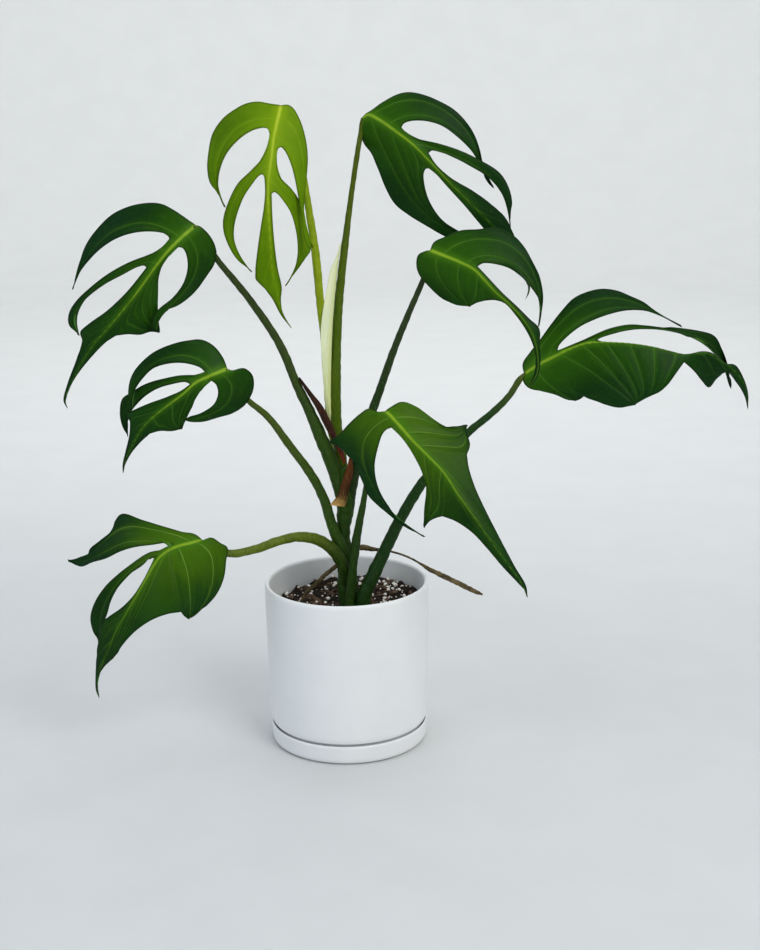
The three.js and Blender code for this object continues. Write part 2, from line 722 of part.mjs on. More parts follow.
// The midrib as a line in drawn space, standing forward along a smooth arch.
function midribLine({ midrib, forward: [base, middle, tip] }) {
  const flat = smooth(midrib.map(drawnPoint));
  const samples = flat.getSpacedPoints(MIDRIB_SAMPLES);
  samples.forEach((sample, i) => {
    const t = i / MIDRIB_SAMPLES;
    sample.z = base * (1 - t) ** 2 + (2 * middle - (base + tip) / 2) * 2 * t * (1 - t) + tip * t ** 2;
  });
  return samples;
}

function atShare(samples, share) {
  const position = share * (samples.length - 1);
  const i = Math.min(Math.floor(position), samples.length - 2);
  return samples[i].clone().lerp(samples[i + 1], position - i);
}

// A sheet of triangles in drawn space. Corners that fall on the same point are one corner.
class Sheet {
  constructor() {
    this.corners = [];
    this.triangles = [];
    this.known = new Map();
  }

  corner(point) {
    const key = [point.x, point.y, point.z].map((value) => value.toFixed(3)).join();
    if (!this.known.has(key)) {
      this.known.set(key, this.corners.length);
      this.corners.push(point);
    }
    return this.known.get(key);
  }

  // Fills the cells between rows of equal length.
  fill(rows, flip) {
    const numbered = rows.map((row) => row.map((point) => this.corner(point)));
    for (let k = 0; k < rows.length - 1; k += 1) {
      for (let j = 0; j < rows[k].length - 1; j += 1) {
        const [a, b] = [numbered[k][j], numbered[k][j + 1]];
        const [d, c] = [numbered[k + 1][j], numbered[k + 1][j + 1]];
        for (const [p, q, r] of [[a, b, c], [a, c, d]]) {
          if (p !== q && q !== r && r !== p) {
            this.triangles.push(flip ? [p, r, q] : [p, q, r]);
          }
        }
      }
    }
  }

  // The sheet's open edges, each as [from, to].
  openEdges() {
    const edges = new Map();
    for (const [a, b, c] of this.triangles) {
      [[a, b], [b, c], [c, a]].forEach((edge) => edges.set(edge.join(), edge));
    }
    return [...edges.values()].filter(([from, to]) => !edges.has([to, from].join()));
  }

  // Gives the sheet its thickness: two like faces and a rim round every open edge. It may be grown all round.
  thicken(thickness, grow = 0) {
    const middle = this.corners.map(place);
    const normals = middle.map(() => new THREE.Vector3());
    for (const [a, b, c] of this.triangles) {
      const across = middle[b].clone().sub(middle[a]);
      const normal = across.cross(middle[c].clone().sub(middle[a]));
      [a, b, c].forEach((corner) => normals[corner].add(normal));
    }
    normals.forEach((normal) => normal.normalize());
    const rim = this.openEdges();
    const outward = middle.map(() => new THREE.Vector3());
    for (const [from, to] of rim) {
      const along = middle[to].clone().sub(middle[from]).normalize();
      [from, to].forEach((corner) => outward[corner].add(along.clone().cross(normals[corner])));
    }
    const count = middle.length;
    const face = (offset) => middle.map((point, i) => (
      point.clone().addScaledVector(outward[i].normalize(), grow).addScaledVector(normals[i], offset)
    ));
    const half = thickness / 2 + grow;
    const corners = [...face(half), ...face(-half)];
    const triangles = [];
    for (const [a, b, c] of this.triangles) {
      triangles.push([a, b, c]);
      triangles.push([a + count, c + count, b + count]);
    }
    for (const [from, to] of rim) {
      triangles.push([to, from, from + count]);
      triangles.push([to, from + count, to + count]);
    }
    return meshOf(corners, triangles);
  }
}

// One half of a blade: its lobes side by side along the midrib, then its part of the blade's end.
function fillHalf(sheet, midrib, stops, half, rows, flip) {
  const [slope, bend] = half.fall;
  // Sets how far forward an outline point stands.
  const stand = (point) => {
    const drawn = drawnPoint(point);
    const { share, distance } = nearestShare(midrib, drawn);
    drawn.z += atShare(midrib, share).z + slope * distance + (bend * distance * distance) / 100;
    return drawn;
  };
  const tip = midrib[midrib.length - 1];
  const runs = half.outline.map((run) => run.map(stand));
  const between = (from, to) => stops.filter((stop) => stop >= from - 1e-6 && stop <= to + 1e-6);
  let foot = 0;
  let cut = null;
  // The points from the midrib to the bottom of a cut, and on to the lobe's tip.
  const edge = (start, bottom, run) => {
    if (!bottom) {
      return smooth([start, ...run]).getSpacedPoints(rows);
    }
    const inner = innerRows(start, bottom);
    const points = [];
    for (let k = 0; k < inner; k += 1) {
      points.push(start.clone().lerp(bottom, k / inner));
    }
    return [...points, ...smooth([bottom, ...run]).getSpacedPoints(rows - inner)];
  };
  for (let lobe = 0; lobe < half.feet.length; lobe += 1) {
    const nextFoot = half.feet[lobe];
    const out = runs[2 * lobe];
    const back = runs[2 * lobe + 1];
    const nextCut = back[back.length - 1];
    const sideA = edge(atShare(midrib, foot), cut, out);
    const homeward = [...back.slice(0, -1).reverse(), out[out.length - 1]];
    const sideB = edge(atShare(midrib, nextFoot), nextCut, homeward);
    const root = between(foot, nextFoot).map((stop) => atShare(midrib, stop));
    const grid = sideA.map((a, k) => root.map((point, j) => {
      const t = j / (root.length - 1);
      const fade = (1 - k / rows) ** 2;
      const straight = a.clone().lerp(sideB[k], t);
      const rootLine = sideA[0].clone().lerp(sideB[0], t);
      return straight.add(point.clone().sub(rootLine).multiplyScalar(fade));
    }));
    sheet.fill(grid, flip);
    foot = nextFoot;
    cut = nextCut;
  }
  const rib = between(foot, 1).map((stop) => atShare(midrib, stop));
  const margin = smooth([cut, ...runs[runs.length - 1], tip]).getSpacedPoints(rib.length - 1);
  const strips = innerRows(rib[0], cut);
  const grid = [];
  for (let k = 0; k <= strips; k += 1) {
    grid.push(rib.map((point, j) => point.clone().lerp(margin[j], k / strips)));
  }
  sheet.fill(grid, flip);
}

// How many rows lie between the midrib and the bottom of a cut.
function innerRows(start, bottom) {
  const distance = Math.hypot(start.x - bottom.x, start.y - bottom.y);
  return THREE.MathUtils.clamp(Math.round(distance / BLADE_STEP), 1, BLADE_ROWS - 4);
}

function bladeSheet(blade) {
  const midrib = midribLine(blade);
  const marks = [0, ...blade.halves.flatMap((half) => half.feet), 1].sort((a, b) => a - b);
  const drawnLength = smooth(midrib).getLength();
  const stops = [0];
  for (let i = 1; i < marks.length; i += 1) {
    const pieces = Math.max(1, Math.round(((marks[i] - marks[i - 1]) * drawnLength) / BLADE_STEP));
    for (let j = 1; j <= pieces && marks[i] > marks[i - 1]; j += 1) {
      stops.push(marks[i - 1] + ((marks[i] - marks[i - 1]) * j) / pieces);
    }
  }
  const sheet = new Sheet();
  blade.halves.forEach((half, i) => fillHalf(sheet, midrib, stops, half, BLADE_ROWS, i === 1));
  return sheet;
}

// Sheaths, drawn as two edges with matching points

const SHEATHS = {
  pale_sheath: {
    finish: "paleSheath",
    left: [
      [340.2, 243.4, -21], [336.2, 256.8, -17], [330.8, 268.9, -12], [326.8, 289, -5], [322.8, 311.8, 2],
      [320.8, 331.9, 1], [321.2, 350.6, 0], [322, 364, -2], [323.5, 384, -5], [324.8, 403, -7],
      [330, 424, -9],
    ],
    right: [
      [341, 245, -22], [338.9, 256.8, -20], [335.5, 287.6, -15], [333.2, 315.8, -11], [332, 337, -9],
      [331.2, 364, -8], [331, 391, -7.5], [331.8, 407, -7], [333, 423, -7],
    ],
  },
  dry_sheath_upper: {
    finish: "drySheath",
    left: [
      [298.5, 379, 9], [307, 393, 11], [316, 408, 13], [323, 423, 14], [331, 438, 14], [338, 452, 13],
      [344, 464, 11],
    ],
    right: [
      [299.5, 377, 7], [312, 393, 7], [322.5, 406, 8], [330, 420, 9], [336, 434, 10], [342, 448, 10],
      [346, 462, 10],
    ],
  },
  dry_sheath_lower: {
    finish: "drySheath",
    left: [
      [349.5, 457, 10.6], [347.3, 466, 10.6], [344, 476, 10.6], [340.5, 487, 10.5], [337, 496, 11.2],
      [330, 505, 15],
    ],
    right: [
      [351.5, 458, 10.2], [353, 466, 10.2], [352.5, 476, 10.2], [350, 486, 10.3], [347.5, 498, 10.8],
      [344.5, 507, 13.5],
    ],
  },
};
const SHEATH_STRIPS = 2;

function sheathSheet({ left, right }, steps) {
  const sides = [left, right].map((side) => smooth(side.map(drawnPoint)).getSpacedPoints(steps));
  const grid = [];
  for (let k = 0; k <= SHEATH_STRIPS; k += 1) {
    grid.push(sides[0].map((point, j) => point.clone().lerp(sides[1][j], k / SHEATH_STRIPS)));
  }
  const sheet = new Sheet();
  sheet.fill(grid, true);
  return sheet;
}

// Assembly

addPart("saucer", saucerShape, "glaze");
addPart("pot", potShape, "glaze");

const shoot = stalk(SHOOT, 0);
const shootRoom = stalk(SHOOT, GAP);
addPart("shoot", shoot, "stem");

// Stalks nearer the ground keep their place, and each later one is cut clear of them, of the shoot and of
// the blade that it carries.
const STALK_ORDER = [
  "petiole_6", "petiole_8", "petiole_5", "petiole_4", "petiole_3", "petiole_7", "petiole_2", "petiole_1",
];
const rooms = [shootRoom];
for (const name of STALK_ORDER) {
  const bladeRoom = bladeSheet(BLADES[name.replace("petiole", "leaf")]).thicken(BLADE_THICKNESS, GAP);
  const shape = cutClear(stalk(STALKS[name]), [...rooms, bladeRoom]);
  addPart(name, shape, name === "petiole_1" ? "newStalk" : "stalk");
  rooms.push(stalk(STALKS[name], GAP));
}
for (const [name, blade] of Object.entries(BLADES)) {
  const shape = bladeSheet(blade).thicken(BLADE_THICKNESS);
  addPart(name, shape, name === "leaf_1" ? "newBlade" : "blade");
}
for (const [name, sheath] of Object.entries(SHEATHS)) {
  const shape = sheathSheet(sheath, 7).thicken(SHEATH_THICKNESS);
  addPart(name, cutClear(shape, rooms), sheath.finish);
}
const ROOT_STEP = 9;
for (const [name, root] of Object.entries(ROOTS)) {
  addPart(name, cutClear(stalk(root, 0, ROOT_STEP, 6), rooms), "root");
  rooms.push(stalk(root, GAP, ROOT_STEP, 6));
}
addPart("soil", cutClear(soilShape(), rooms), "soil");

export default plant;
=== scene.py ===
import logging
import math
from abc import ABC, abstractmethod
from dataclasses import dataclass, field
from enum import Enum

import bpy
import numpy as np
from mathutils import Matrix, Vector


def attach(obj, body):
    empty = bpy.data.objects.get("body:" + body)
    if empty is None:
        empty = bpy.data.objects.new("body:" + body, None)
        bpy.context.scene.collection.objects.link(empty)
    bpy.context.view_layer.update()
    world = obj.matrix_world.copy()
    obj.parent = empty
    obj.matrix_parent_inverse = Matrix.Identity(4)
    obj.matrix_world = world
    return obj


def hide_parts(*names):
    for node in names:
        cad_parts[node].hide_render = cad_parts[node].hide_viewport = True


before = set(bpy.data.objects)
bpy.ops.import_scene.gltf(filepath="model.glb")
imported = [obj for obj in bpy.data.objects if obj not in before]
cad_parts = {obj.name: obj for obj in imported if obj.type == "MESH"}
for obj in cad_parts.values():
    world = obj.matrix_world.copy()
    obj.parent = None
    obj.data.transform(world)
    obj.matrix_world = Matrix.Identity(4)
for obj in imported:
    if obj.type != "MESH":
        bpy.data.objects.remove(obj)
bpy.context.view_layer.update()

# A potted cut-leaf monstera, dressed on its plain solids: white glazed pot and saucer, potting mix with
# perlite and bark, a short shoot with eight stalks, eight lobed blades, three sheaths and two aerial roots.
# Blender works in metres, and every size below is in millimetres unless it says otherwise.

LOG = logging.getLogger("potted_monstera")
MM = 0.001

Array = np.ndarray
Point = tuple[float, ...]
StalkPoint = tuple[float, float, float, float]
Material = bpy.types.Material
Node = bpy.types.Node
Socket = bpy.types.NodeSocket
Tree = bpy.types.NodeTree
Settings = dict[str | int, object]
Feed = Node | Socket
Links = dict[str | int, Feed]


# Drawings: the plant as it looks from the viewpoint, on an upright sheet 760 wide and 950 high.


@dataclass(frozen=True)
class HalfDrawing:
    """One half of a blade.

    fall is how it slopes away from the midrib and how that slope bends for each 100 mm. feet are the shares
    of the midrib where the cuts' veins leave it. runs go in turns out to a lobe's tip and back to the bottom
    of the next cut, and the last one goes to the blade's own tip.
    """

    fall: tuple[float, float]
    feet: list[float]
    runs: list[list[Point]]


@dataclass(frozen=True)
class BladeDrawing:
    """A blade: its midrib, where that stands forward at base, middle and tip, and its two halves."""

    midrib: list[Point]
    forward: tuple[float, float, float]
    halves: list[HalfDrawing]


@dataclass(frozen=True)
class SheathDrawing:
    """A sheath, drawn as two edges with matching points."""

    left: list[Point]
    right: list[Point]


@dataclass(frozen=True)
class Viewpoint:
    """Where the plant was drawn from, which is also where the camera stands."""

    eye: tuple[float, float, float] = (34.9, -1546.1, 692.3)
    look_down: float = 0.2647
    head_tilt: float = -0.015
    sheet_distance: float = 1630.0
    sheet_width: float = 760.0
    sheet_height: float = 950.0
    sensor: float = 36.0

    def axes(self) -> tuple[Array, Array, Array]:
        """Works out which way the viewpoint looks.

        Returns:
            The unit directions right, up and ahead.
        """
        sine, cosine = math.sin(self.look_down), math.cos(self.look_down)
        ahead = np.array([0.0, cosine, -sine])
        level_up = np.array([0.0, sine, cosine])
        level_right = np.array([1.0, 0.0, 0.0])
        tilt_sine, tilt_cosine = math.sin(self.head_tilt), math.cos(self.head_tilt)
        right = tilt_cosine * level_right + tilt_sine * level_up
        up = tilt_cosine * level_up - tilt_sine * level_right
        return right, up, ahead

    def place(self, drawn: Array) -> Array:
        """Turns drawn points into real ones.

        Args:
            drawn: rows of across, down and forward.

        Returns:
            Rows of x, y and z in mm.
        """
        right, up, ahead = self.axes()
        across = (drawn[:, 0] - self.sheet_width / 2) / self.sheet_distance
        rise = (self.sheet_height / 2 - drawn[:, 1]) / self.sheet_distance
        rays = ahead + across[:, None] * right + rise[:, None] * up
        reach = (-drawn[:, 2] - self.eye[1]) / rays[:, 1]
        return np.array(self.eye) + rays * reach[:, None]

    def sees_back(self, points: Array, normals: Array) -> bool:
        """Whether a sheet mostly turns its back to the viewpoint."""
        return bool(np.einsum("ij,ij->i", normals, np.array(self.eye) - points).sum() < 0)

    def stand_camera(self) -> None:
        """Stands the scene's camera at the viewpoint."""
        right, up, ahead = self.axes()
        data = bpy.data.cameras.new("viewpoint")
        data.sensor_width = self.sensor
        data.lens = self.sensor * self.sheet_distance / self.sheet_height
        camera = bpy.data.objects.new("viewpoint", data)
        turn = Matrix([right, up, -ahead]).transposed().to_4x4()
        camera.matrix_world = Matrix.Translation(Vector(self.eye) * MM) @ turn
        bpy.context.scene.collection.objects.link(camera)
        bpy.context.scene.camera = camera


VIEW = Viewpoint()

BLADES: dict[str, BladeDrawing] = {
    "leaf_1": BladeDrawing(midrib=[
        (281, 105), (276.2, 126), (273.6, 138), (271, 160), (268.6, 178), (267.8, 194), (268.6, 215),
        (270.3, 241), (272.3, 270), (277, 292), (283, 313), (291.5, 328.5),
    ], forward=(15, 36, 22), halves=[HalfDrawing(fall=(-0.2, -0.3), feet=[0.13, 0.32], runs=[
        [(271, 104), (258, 102), (246, 104), (234.6, 110), (223, 119), (213, 134), (208.8, 153), (207.7, 168),
         (210, 182), (217, 193.5), (225.6, 208.2)],
        [(220.6, 197), (218.7, 183), (221, 168), (227.5, 153), (239.2, 139.6), (251, 131.5), (262.5, 128),
         (267.5, 128.8), (269.6, 133)],
        [(268.8, 142), (266.5, 150), (261.5, 158.5), (250, 171.5), (238, 184), (228.5, 203), (223.8, 220),
         (224.6, 233), (230.8, 249), (238, 260), (252.6, 272.7)],
        [(242.3, 260.4), (235.4, 246), (233.8, 234), (236, 219), (243.8, 198), (253, 184), (259.5, 175.6),
         (262.8, 174.4), (264.5, 177.5)],
        [(265.2, 191), (264, 207), (261, 227), (257.8, 250), (255.6, 272), (256.3, 279.6), (264, 287.5),
         (272.5, 299), (281, 315)],
    ]), HalfDrawing(fall=(-0.2, -0.3), feet=[0.19, 0.39], runs=[
        [(288, 105), (293, 108.5), (300, 121), (305.5, 140), (307.5, 156), (306.3, 176), (305, 200, 2),
         (304.3, 222, 4), (306.5, 239, 7), (313.5, 247.5, 10)],
        [(309, 249, 10), (304, 239, 7), (301.8, 221, 4), (299, 203, 2), (294.6, 178), (289, 159.5),
         (284.5, 150.5), (280.8, 147), (277.8, 149)],
        [(276.3, 158), (277.7, 170.4), (282, 179), (291, 189, -1), (299, 202, -5), (303.5, 222, -8),
         (308, 240, -8), (310, 250, -6), (302, 264.5), (294.5, 274.5), (285, 286.6)],
        [(291.5, 275.5), (296, 262), (297.3, 250), (295.4, 230), (290.5, 213), (283, 201), (277.5, 194),
         (274, 192), (271.5, 194)],
        [(272.3, 217), (274.3, 243), (277.5, 268), (281.6, 287.5), (280.8, 300), (283, 314)],
    ])]),
    "leaf_2": BladeDrawing(midrib=[
        (362, 117), (368, 114.5), (382.7, 122), (398, 133), (411, 142.8), (428.5, 160.2), (448, 181),
        (470, 202.7), (490.6, 223.4), (506, 239), (519, 252),
    ], forward=(-30, -6, -16), halves=[HalfDrawing(fall=(-0.2, -0.25), feet=[0.18, 0.345], runs=[
        [(371, 110.5), (385, 101.5), (398, 94.8), (409, 92.8), (424, 95.5), (440, 102), (455, 111),
         (468, 124.5), (476.5, 138.5), (480.8, 151), (484, 166, -4), (488, 178, -8), (493.8, 188.6, -9)],
        [(488.5, 183.5, -9), (484, 174, -8), (479, 164, -4), (470, 150), (456, 136), (441, 125.5), (424, 121),
         (410, 121.3), (403.5, 124), (401.5, 127.5)],
        [(405.5, 132.6), (418, 138.5), (440, 144), (464, 152.5), (484, 162.5, 1), (500, 174), (508, 187),
         (511.8, 202), (511, 215), (510.3, 231)],
        [(508.5, 214), (505, 200), (498.5, 188.5), (485, 175.5, 1), (467, 164.5), (450, 156.5), (438, 151.5),
         (431.5, 150.8), (428.5, 153)],
        [(436, 164.5), (451, 178), (472, 190.5), (490, 203.5), (505, 217.5), (511.5, 230), (517, 243)],
    ]), HalfDrawing(fall=(-0.2, -0.25), feet=[0.32], runs=[
        [(360.3, 122), (360.4, 131), (364, 142.5), (372, 155), (378, 168), (385.5, 187), (395, 203.5),
         (409, 215), (426, 225.5), (446, 236.5), (462, 242), (481, 243)],
        [(468, 235.5), (453, 227.3), (445, 222), (436, 212), (428, 197), (424.3, 182), (424, 173),
         (426, 168.8), (429, 168.4)],
        [(436, 174), (445, 184), (455, 195), (465, 206), (478, 221.5), (489, 234), (504, 244)],
    ])]),
    "leaf_3": BladeDrawing(midrib=[
        (196, 225), (183, 236), (168.5, 250.5), (154, 269), (139, 290), (124, 309), (108, 328), (93, 345),
        (79, 368), (68, 391), (65, 401), (67.5, 408.5),
    ], forward=(18, 46, 34), halves=[HalfDrawing(fall=(-0.22, -0.25), feet=[0.12, 0.28], runs=[
        [(189, 220.5), (174, 210.5), (162, 204.5), (151, 203.2), (132, 206), (113, 214.5), (99, 227.5),
         (87, 244), (79.5, 262), (74, 281), (72.4, 290.6)],
        [(78, 277), (84.5, 266.5), (99, 250.5), (117, 238.5), (137, 232.5), (156, 232), (166, 234.5),
         (169.6, 239)],
        [(162, 248), (146, 255.5), (127, 263.5), (107, 275), (90, 288.5), (76, 302.5), (69.5, 314),
         (69.5, 325), (80, 336.2)],
        [(74.5, 329), (72, 321), (75.5, 310.5), (89, 296.5), (106, 284), (124, 274.5), (138, 267),
         (144.5, 265.6), (146.5, 267.5)],
        [(140, 276), (126, 293), (107, 311), (89, 324), (80.8, 332), (82.3, 341), (76, 361), (67.5, 384),
         (63.6, 401)],
    ]), HalfDrawing(fall=(-0.22, -0.25), feet=[0.115, 0.47], runs=[
        [(201, 227), (211, 238), (216, 252), (214, 263.5), (206, 276.5), (194.5, 292), (179, 304.5),
         (163.5, 312.5, 3), (154.5, 319, 6), (153.2, 325, 7), (156, 331.2, 7)],
        [(151.4, 327, 7), (152, 318, 6), (158.5, 309, 3), (172, 298), (183, 283), (187.5, 267), (186, 254),
         (182.5, 248), (178.5, 247)],
        [(171, 251), (164, 261), (159.3, 276), (157.6, 300, -3), (158, 317, -4), (159.2, 332, -4)],
        [(150, 331.5, -3), (140, 334.5), (128, 334), (116, 335.4)],
        [(106, 342), (90, 358.5), (75, 378), (67, 394), (65.8, 403)],
    ])]),
    "leaf_4": BladeDrawing(midrib=[
        (227.5, 368.5), (213, 374.5), (196, 382.5), (182, 395), (167, 406), (152, 418), (141, 430),
        (132, 446), (126, 459), (122.8, 473.5),
    ], forward=(53, 78, 62), halves=[HalfDrawing(fall=(-0.25, -0.3), feet=[0.14, 0.275], runs=[
        [(222.5, 357.5), (212.5, 345.5), (201, 340), (186.5, 340.8), (169.5, 345.5), (153, 353.5),
         (139.5, 365), (131.5, 378), (128.3, 394, 3), (129.5, 403, 5), (132.8, 409.6, 6)],
        [(133, 401, 6), (135, 390, 3), (142.5, 378.5), (154.5, 368), (170, 363.5), (187, 363.8), (200, 367.6),
         (204.8, 371.8)],
        [(196, 374.5), (177, 376), (159, 379.5), (143.5, 385, -2), (132, 392.5, -6), (123, 398.5, -8),
         (120.3, 410, -10), (122, 424, -12), (128.3, 437.5, -13)],
        [(127.6, 423, -13), (130.5, 413, -11), (137, 404.5, -7), (146, 396, -3), (159, 388.5), (175, 383.5),
         (186, 382.2), (190, 384.2)],
        [(181.5, 390.5), (167, 397), (149, 403.5), (134, 410), (126.2, 414), (130, 421.5), (129.6, 434),
         (126, 450), (122.8, 464)],
    ]), HalfDrawing(fall=(-0.25, -0.2), feet=[0.13, 0.66], runs=[
        [(233, 370.8), (243.5, 368.2), (251.5, 374), (253.6, 383), (251.5, 393.5), (244, 405), (231, 413.5),
         (216, 418.5, 1), (200, 421.8, 3), (190, 422.2, 6), (183.2, 420.6, 7)],
        [(188, 416.8, 6), (201, 412.5, 3), (213.5, 404.5), (218, 393), (216, 384.5), (211.5, 380.6)],
        [(206, 384), (197, 397.5), (189.5, 411, -2), (184.5, 421, -3), (181.5, 428.4, -3)],
        [(172, 430.8), (160, 430.6), (150, 433.2)],
        [(141, 441.5), (131, 453.5), (125, 465)],
    ])]),
    "leaf_5": BladeDrawing(midrib=[
        (203, 540), (190, 543), (178, 546), (168, 550.5), (160, 556.5), (153.5, 565.5), (147, 577),
        (138, 593), (129, 608), (118, 627), (110, 644.5), (101.5, 666), (97, 683), (99, 698),
    ], forward=(63, 82, 66), halves=[HalfDrawing(fall=(-0.75, 0.35), feet=[0.18, 0.3], runs=[
        [(195, 534.5), (181, 531.5), (163, 526.5), (143, 520.5), (122, 514.2), (115.5, 521), (111, 531),
         (99.5, 541), (89.5, 549.5), (84.5, 561.5), (76, 562.8), (67.5, 560)],
        [(75, 565), (82, 566.8), (92, 562.5), (106, 558.5), (120, 551.5), (135, 547), (153, 545),
         (166, 542.4), (172.3, 544)],
        [(162, 549.5, -2), (149, 553, -4), (135, 562, -6), (119, 574, -8), (105, 587.5, -12), (95, 603, -16),
         (91, 617, -18), (93, 630, -18), (98.5, 641.5, -18)],
        [(103, 626, -18), (108, 612, -16), (110.5, 602.5, -14), (118, 588, -10), (130, 574, -8),
         (142, 566, -6), (151, 557.8, -3), (155, 556.2)],
        [(150, 567), (143, 580.5), (133.5, 595.5), (122, 607.5), (109.5, 616.5), (102.5, 622.5), (99.3, 635),
         (97, 655), (95.6, 676), (96, 690)],
    ]), HalfDrawing(fall=(0.6, -0.6), feet=[0.17], runs=[
        [(212, 538), (221, 543.5), (227.5, 547.5), (226, 560), (224, 576), (217, 592.5), (206, 605.5),
         (194, 617), (188, 619.7)],
        [(183.8, 616), (181, 612.2)],
        [(168, 614), (152, 620), (136, 631), (123, 645), (116, 655.5), (104, 667), (98.3, 677), (97.6, 688)],
    ])]),
    "leaf_6": BladeDrawing(midrib=[
        (385, 411), (389, 414), (400, 426), (414, 442), (429, 457), (444, 473), (457, 493), (472, 514),
        (488, 537), (506, 562), (520, 581), (527.5, 597.5),
    ], forward=(79, 116, 132), halves=[HalfDrawing(fall=(-0.35, 0), feet=[0.07, 0.4], runs=[
        [(378, 412), (369, 408.5), (360, 414), (349, 424), (339.5, 434.5), (329.5, 442), (339, 446.2),
         (348, 455), (355.5, 466.5), (363, 482), (368.5, 495), (377.5, 504.5), (393, 518.5), (408, 528.5),
         (425.6, 537.4)],
        [(413, 529.3), (397, 517), (386.5, 503), (378, 485), (375, 465.5), (378, 448), (383, 433.5),
         (387.5, 428.8), (391.8, 427.4)],
        [(398.5, 431), (409.5, 444), (419.5, 460), (424.5, 474), (425.6, 492), (424, 513), (424.3, 527.6)],
        [(430, 521), (437, 517.5), (443, 516)],
        [(456, 521), (472, 532), (487, 548), (503, 567), (519, 584), (526, 592)],
    ]), HalfDrawing(fall=(-0.45, -0.2), feet=[0.24], runs=[
        [(391, 407), (402, 402.3), (416, 407), (430, 416.5), (443, 425.5), (456, 426.3), (467, 425.4)],
        [(466.5, 432), (469.8, 445), (466.6, 455)],
        [(468.5, 468), (474.5, 487), (486, 512), (500, 539), (515, 567), (526, 586)],
    ])]),
    "leaf_7": BladeDrawing(midrib=[
        (430, 250), (444, 255.5), (460, 262), (474, 269.5), (486, 281.5), (496.5, 293), (508, 303),
        (522, 318), (533, 335), (537.8, 356), (537, 374), (528, 388),
    ], forward=(13, 38, 46), halves=[HalfDrawing(fall=(-0.3, -0.2), feet=[0.27], runs=[
        [(434, 242.5), (443, 238), (461, 230.8), (478, 229.6), (495, 228.3), (513, 236), (524, 247.5),
         (533.5, 263), (540.5, 279), (543.7, 295), (542.5, 311), (538.3, 327.5, -5)],
        [(540.8, 308), (538.5, 299.5), (533, 290.5), (526.5, 282.5), (521, 276.5), (511, 269), (497, 264.5),
         (483, 263.3), (477.5, 266.3)],
        [(488, 277.5), (502, 292.5), (516, 305.5), (529, 318.5), (539, 328.6), (539.6, 345), (540.4, 362),
         (537, 378)],
    ]), HalfDrawing(fall=(-0.2, -0.3), feet=[0.33], runs=[
        [(424.5, 251.5), (418.5, 255), (416.8, 265), (420, 275), (431, 288), (443, 298.5), (456, 305.5),
         (470, 307)],
        [(477, 302.8), (485, 300.4)],
        [(495, 300), (505, 303.5), (516, 315.5), (524.5, 327.5), (531.5, 341), (535.6, 356), (534.8, 371),
         (531, 382)],
    ])]),
    "leaf_8": BladeDrawing(midrib=[
        (524, 374), (533, 368), (542, 362.5), (552, 357.5), (563, 352), (574, 346.8), (585, 343.2),
        (597, 341.8), (610, 341.8), (625, 342.6), (640, 344.3), (655, 347), (670, 350.8), (684, 354),
        (697, 353), (708, 353.4), (720, 360), (732, 368.5), (742, 380), (747, 393), (748, 409.5),
    ], forward=(-34, -16, -30), halves=[HalfDrawing(fall=(-0.7, 0.2), feet=[0.155, 0.305], runs=[
        [(523, 364), (530, 353), (539.5, 341), (551, 325), (562, 311), (574, 298.5), (588, 292), (602, 289.2),
         (617, 291), (631, 296.5), (645, 303), (658, 312), (671, 320.5), (682.6, 326.8)],
        [(667, 319), (655, 313.5), (641, 310.5), (625, 310.8), (609, 314.5), (594, 320), (580, 327),
         (567, 337), (559, 345.5), (557.5, 350.4)],
        [(568, 346.5), (582, 340.5), (596, 334), (611, 328.5), (628, 325), (646, 325), (664, 327),
         (682, 329, -3), (700, 331.5, -6), (714, 336, -9), (723, 350, -12), (728.6, 366, -14),
         (731, 388.2, -14)],
        [(727.4, 372, -14), (721, 360, -12), (709, 345.5, -9), (698, 337.5, -6), (687, 337, -3), (676, 332.5),
         (662, 328.8), (645, 329), (627, 331), (610, 335), (600, 338.2), (597, 340.2)],
        [(611, 343.5, -6), (630, 346, -10), (655, 351, -10), (684, 356.6, -6), (700, 351.6, -4),
         (712, 353, -2), (724, 363.4), (735, 365), (743, 377), (748, 393)],
    ]), HalfDrawing(fall=(0.65, -0.7), feet=[0.09, 0.645], runs=[
        [(523.4, 381.5), (529, 388), (542, 391.8), (556, 395.5), (568, 400.3), (575.5, 401.2)],
        [(579.5, 399.4), (583.6, 396.8)],
        [(595, 400.5), (607, 405.5), (621, 407.2), (634, 405.2)],
        [(646, 398.5), (659, 392.5), (668, 384.5), (675, 375), (684, 362.4)],
        [(693, 370.5, -8), (702, 381, -20), (708.6, 387, -24), (716, 378.4, -20), (726, 371.4, -6),
         (737, 383.5), (744.5, 396)],
    ])]),
}

STRAND_RUN: list[Point] = [(526.8, 281.5), (528.8, 286), (529, 290), (527.6, 295), (525.4, 299.4)]
STRAND_RADII = [1.0, 1.0, 0.9, 0.7, 0.3]

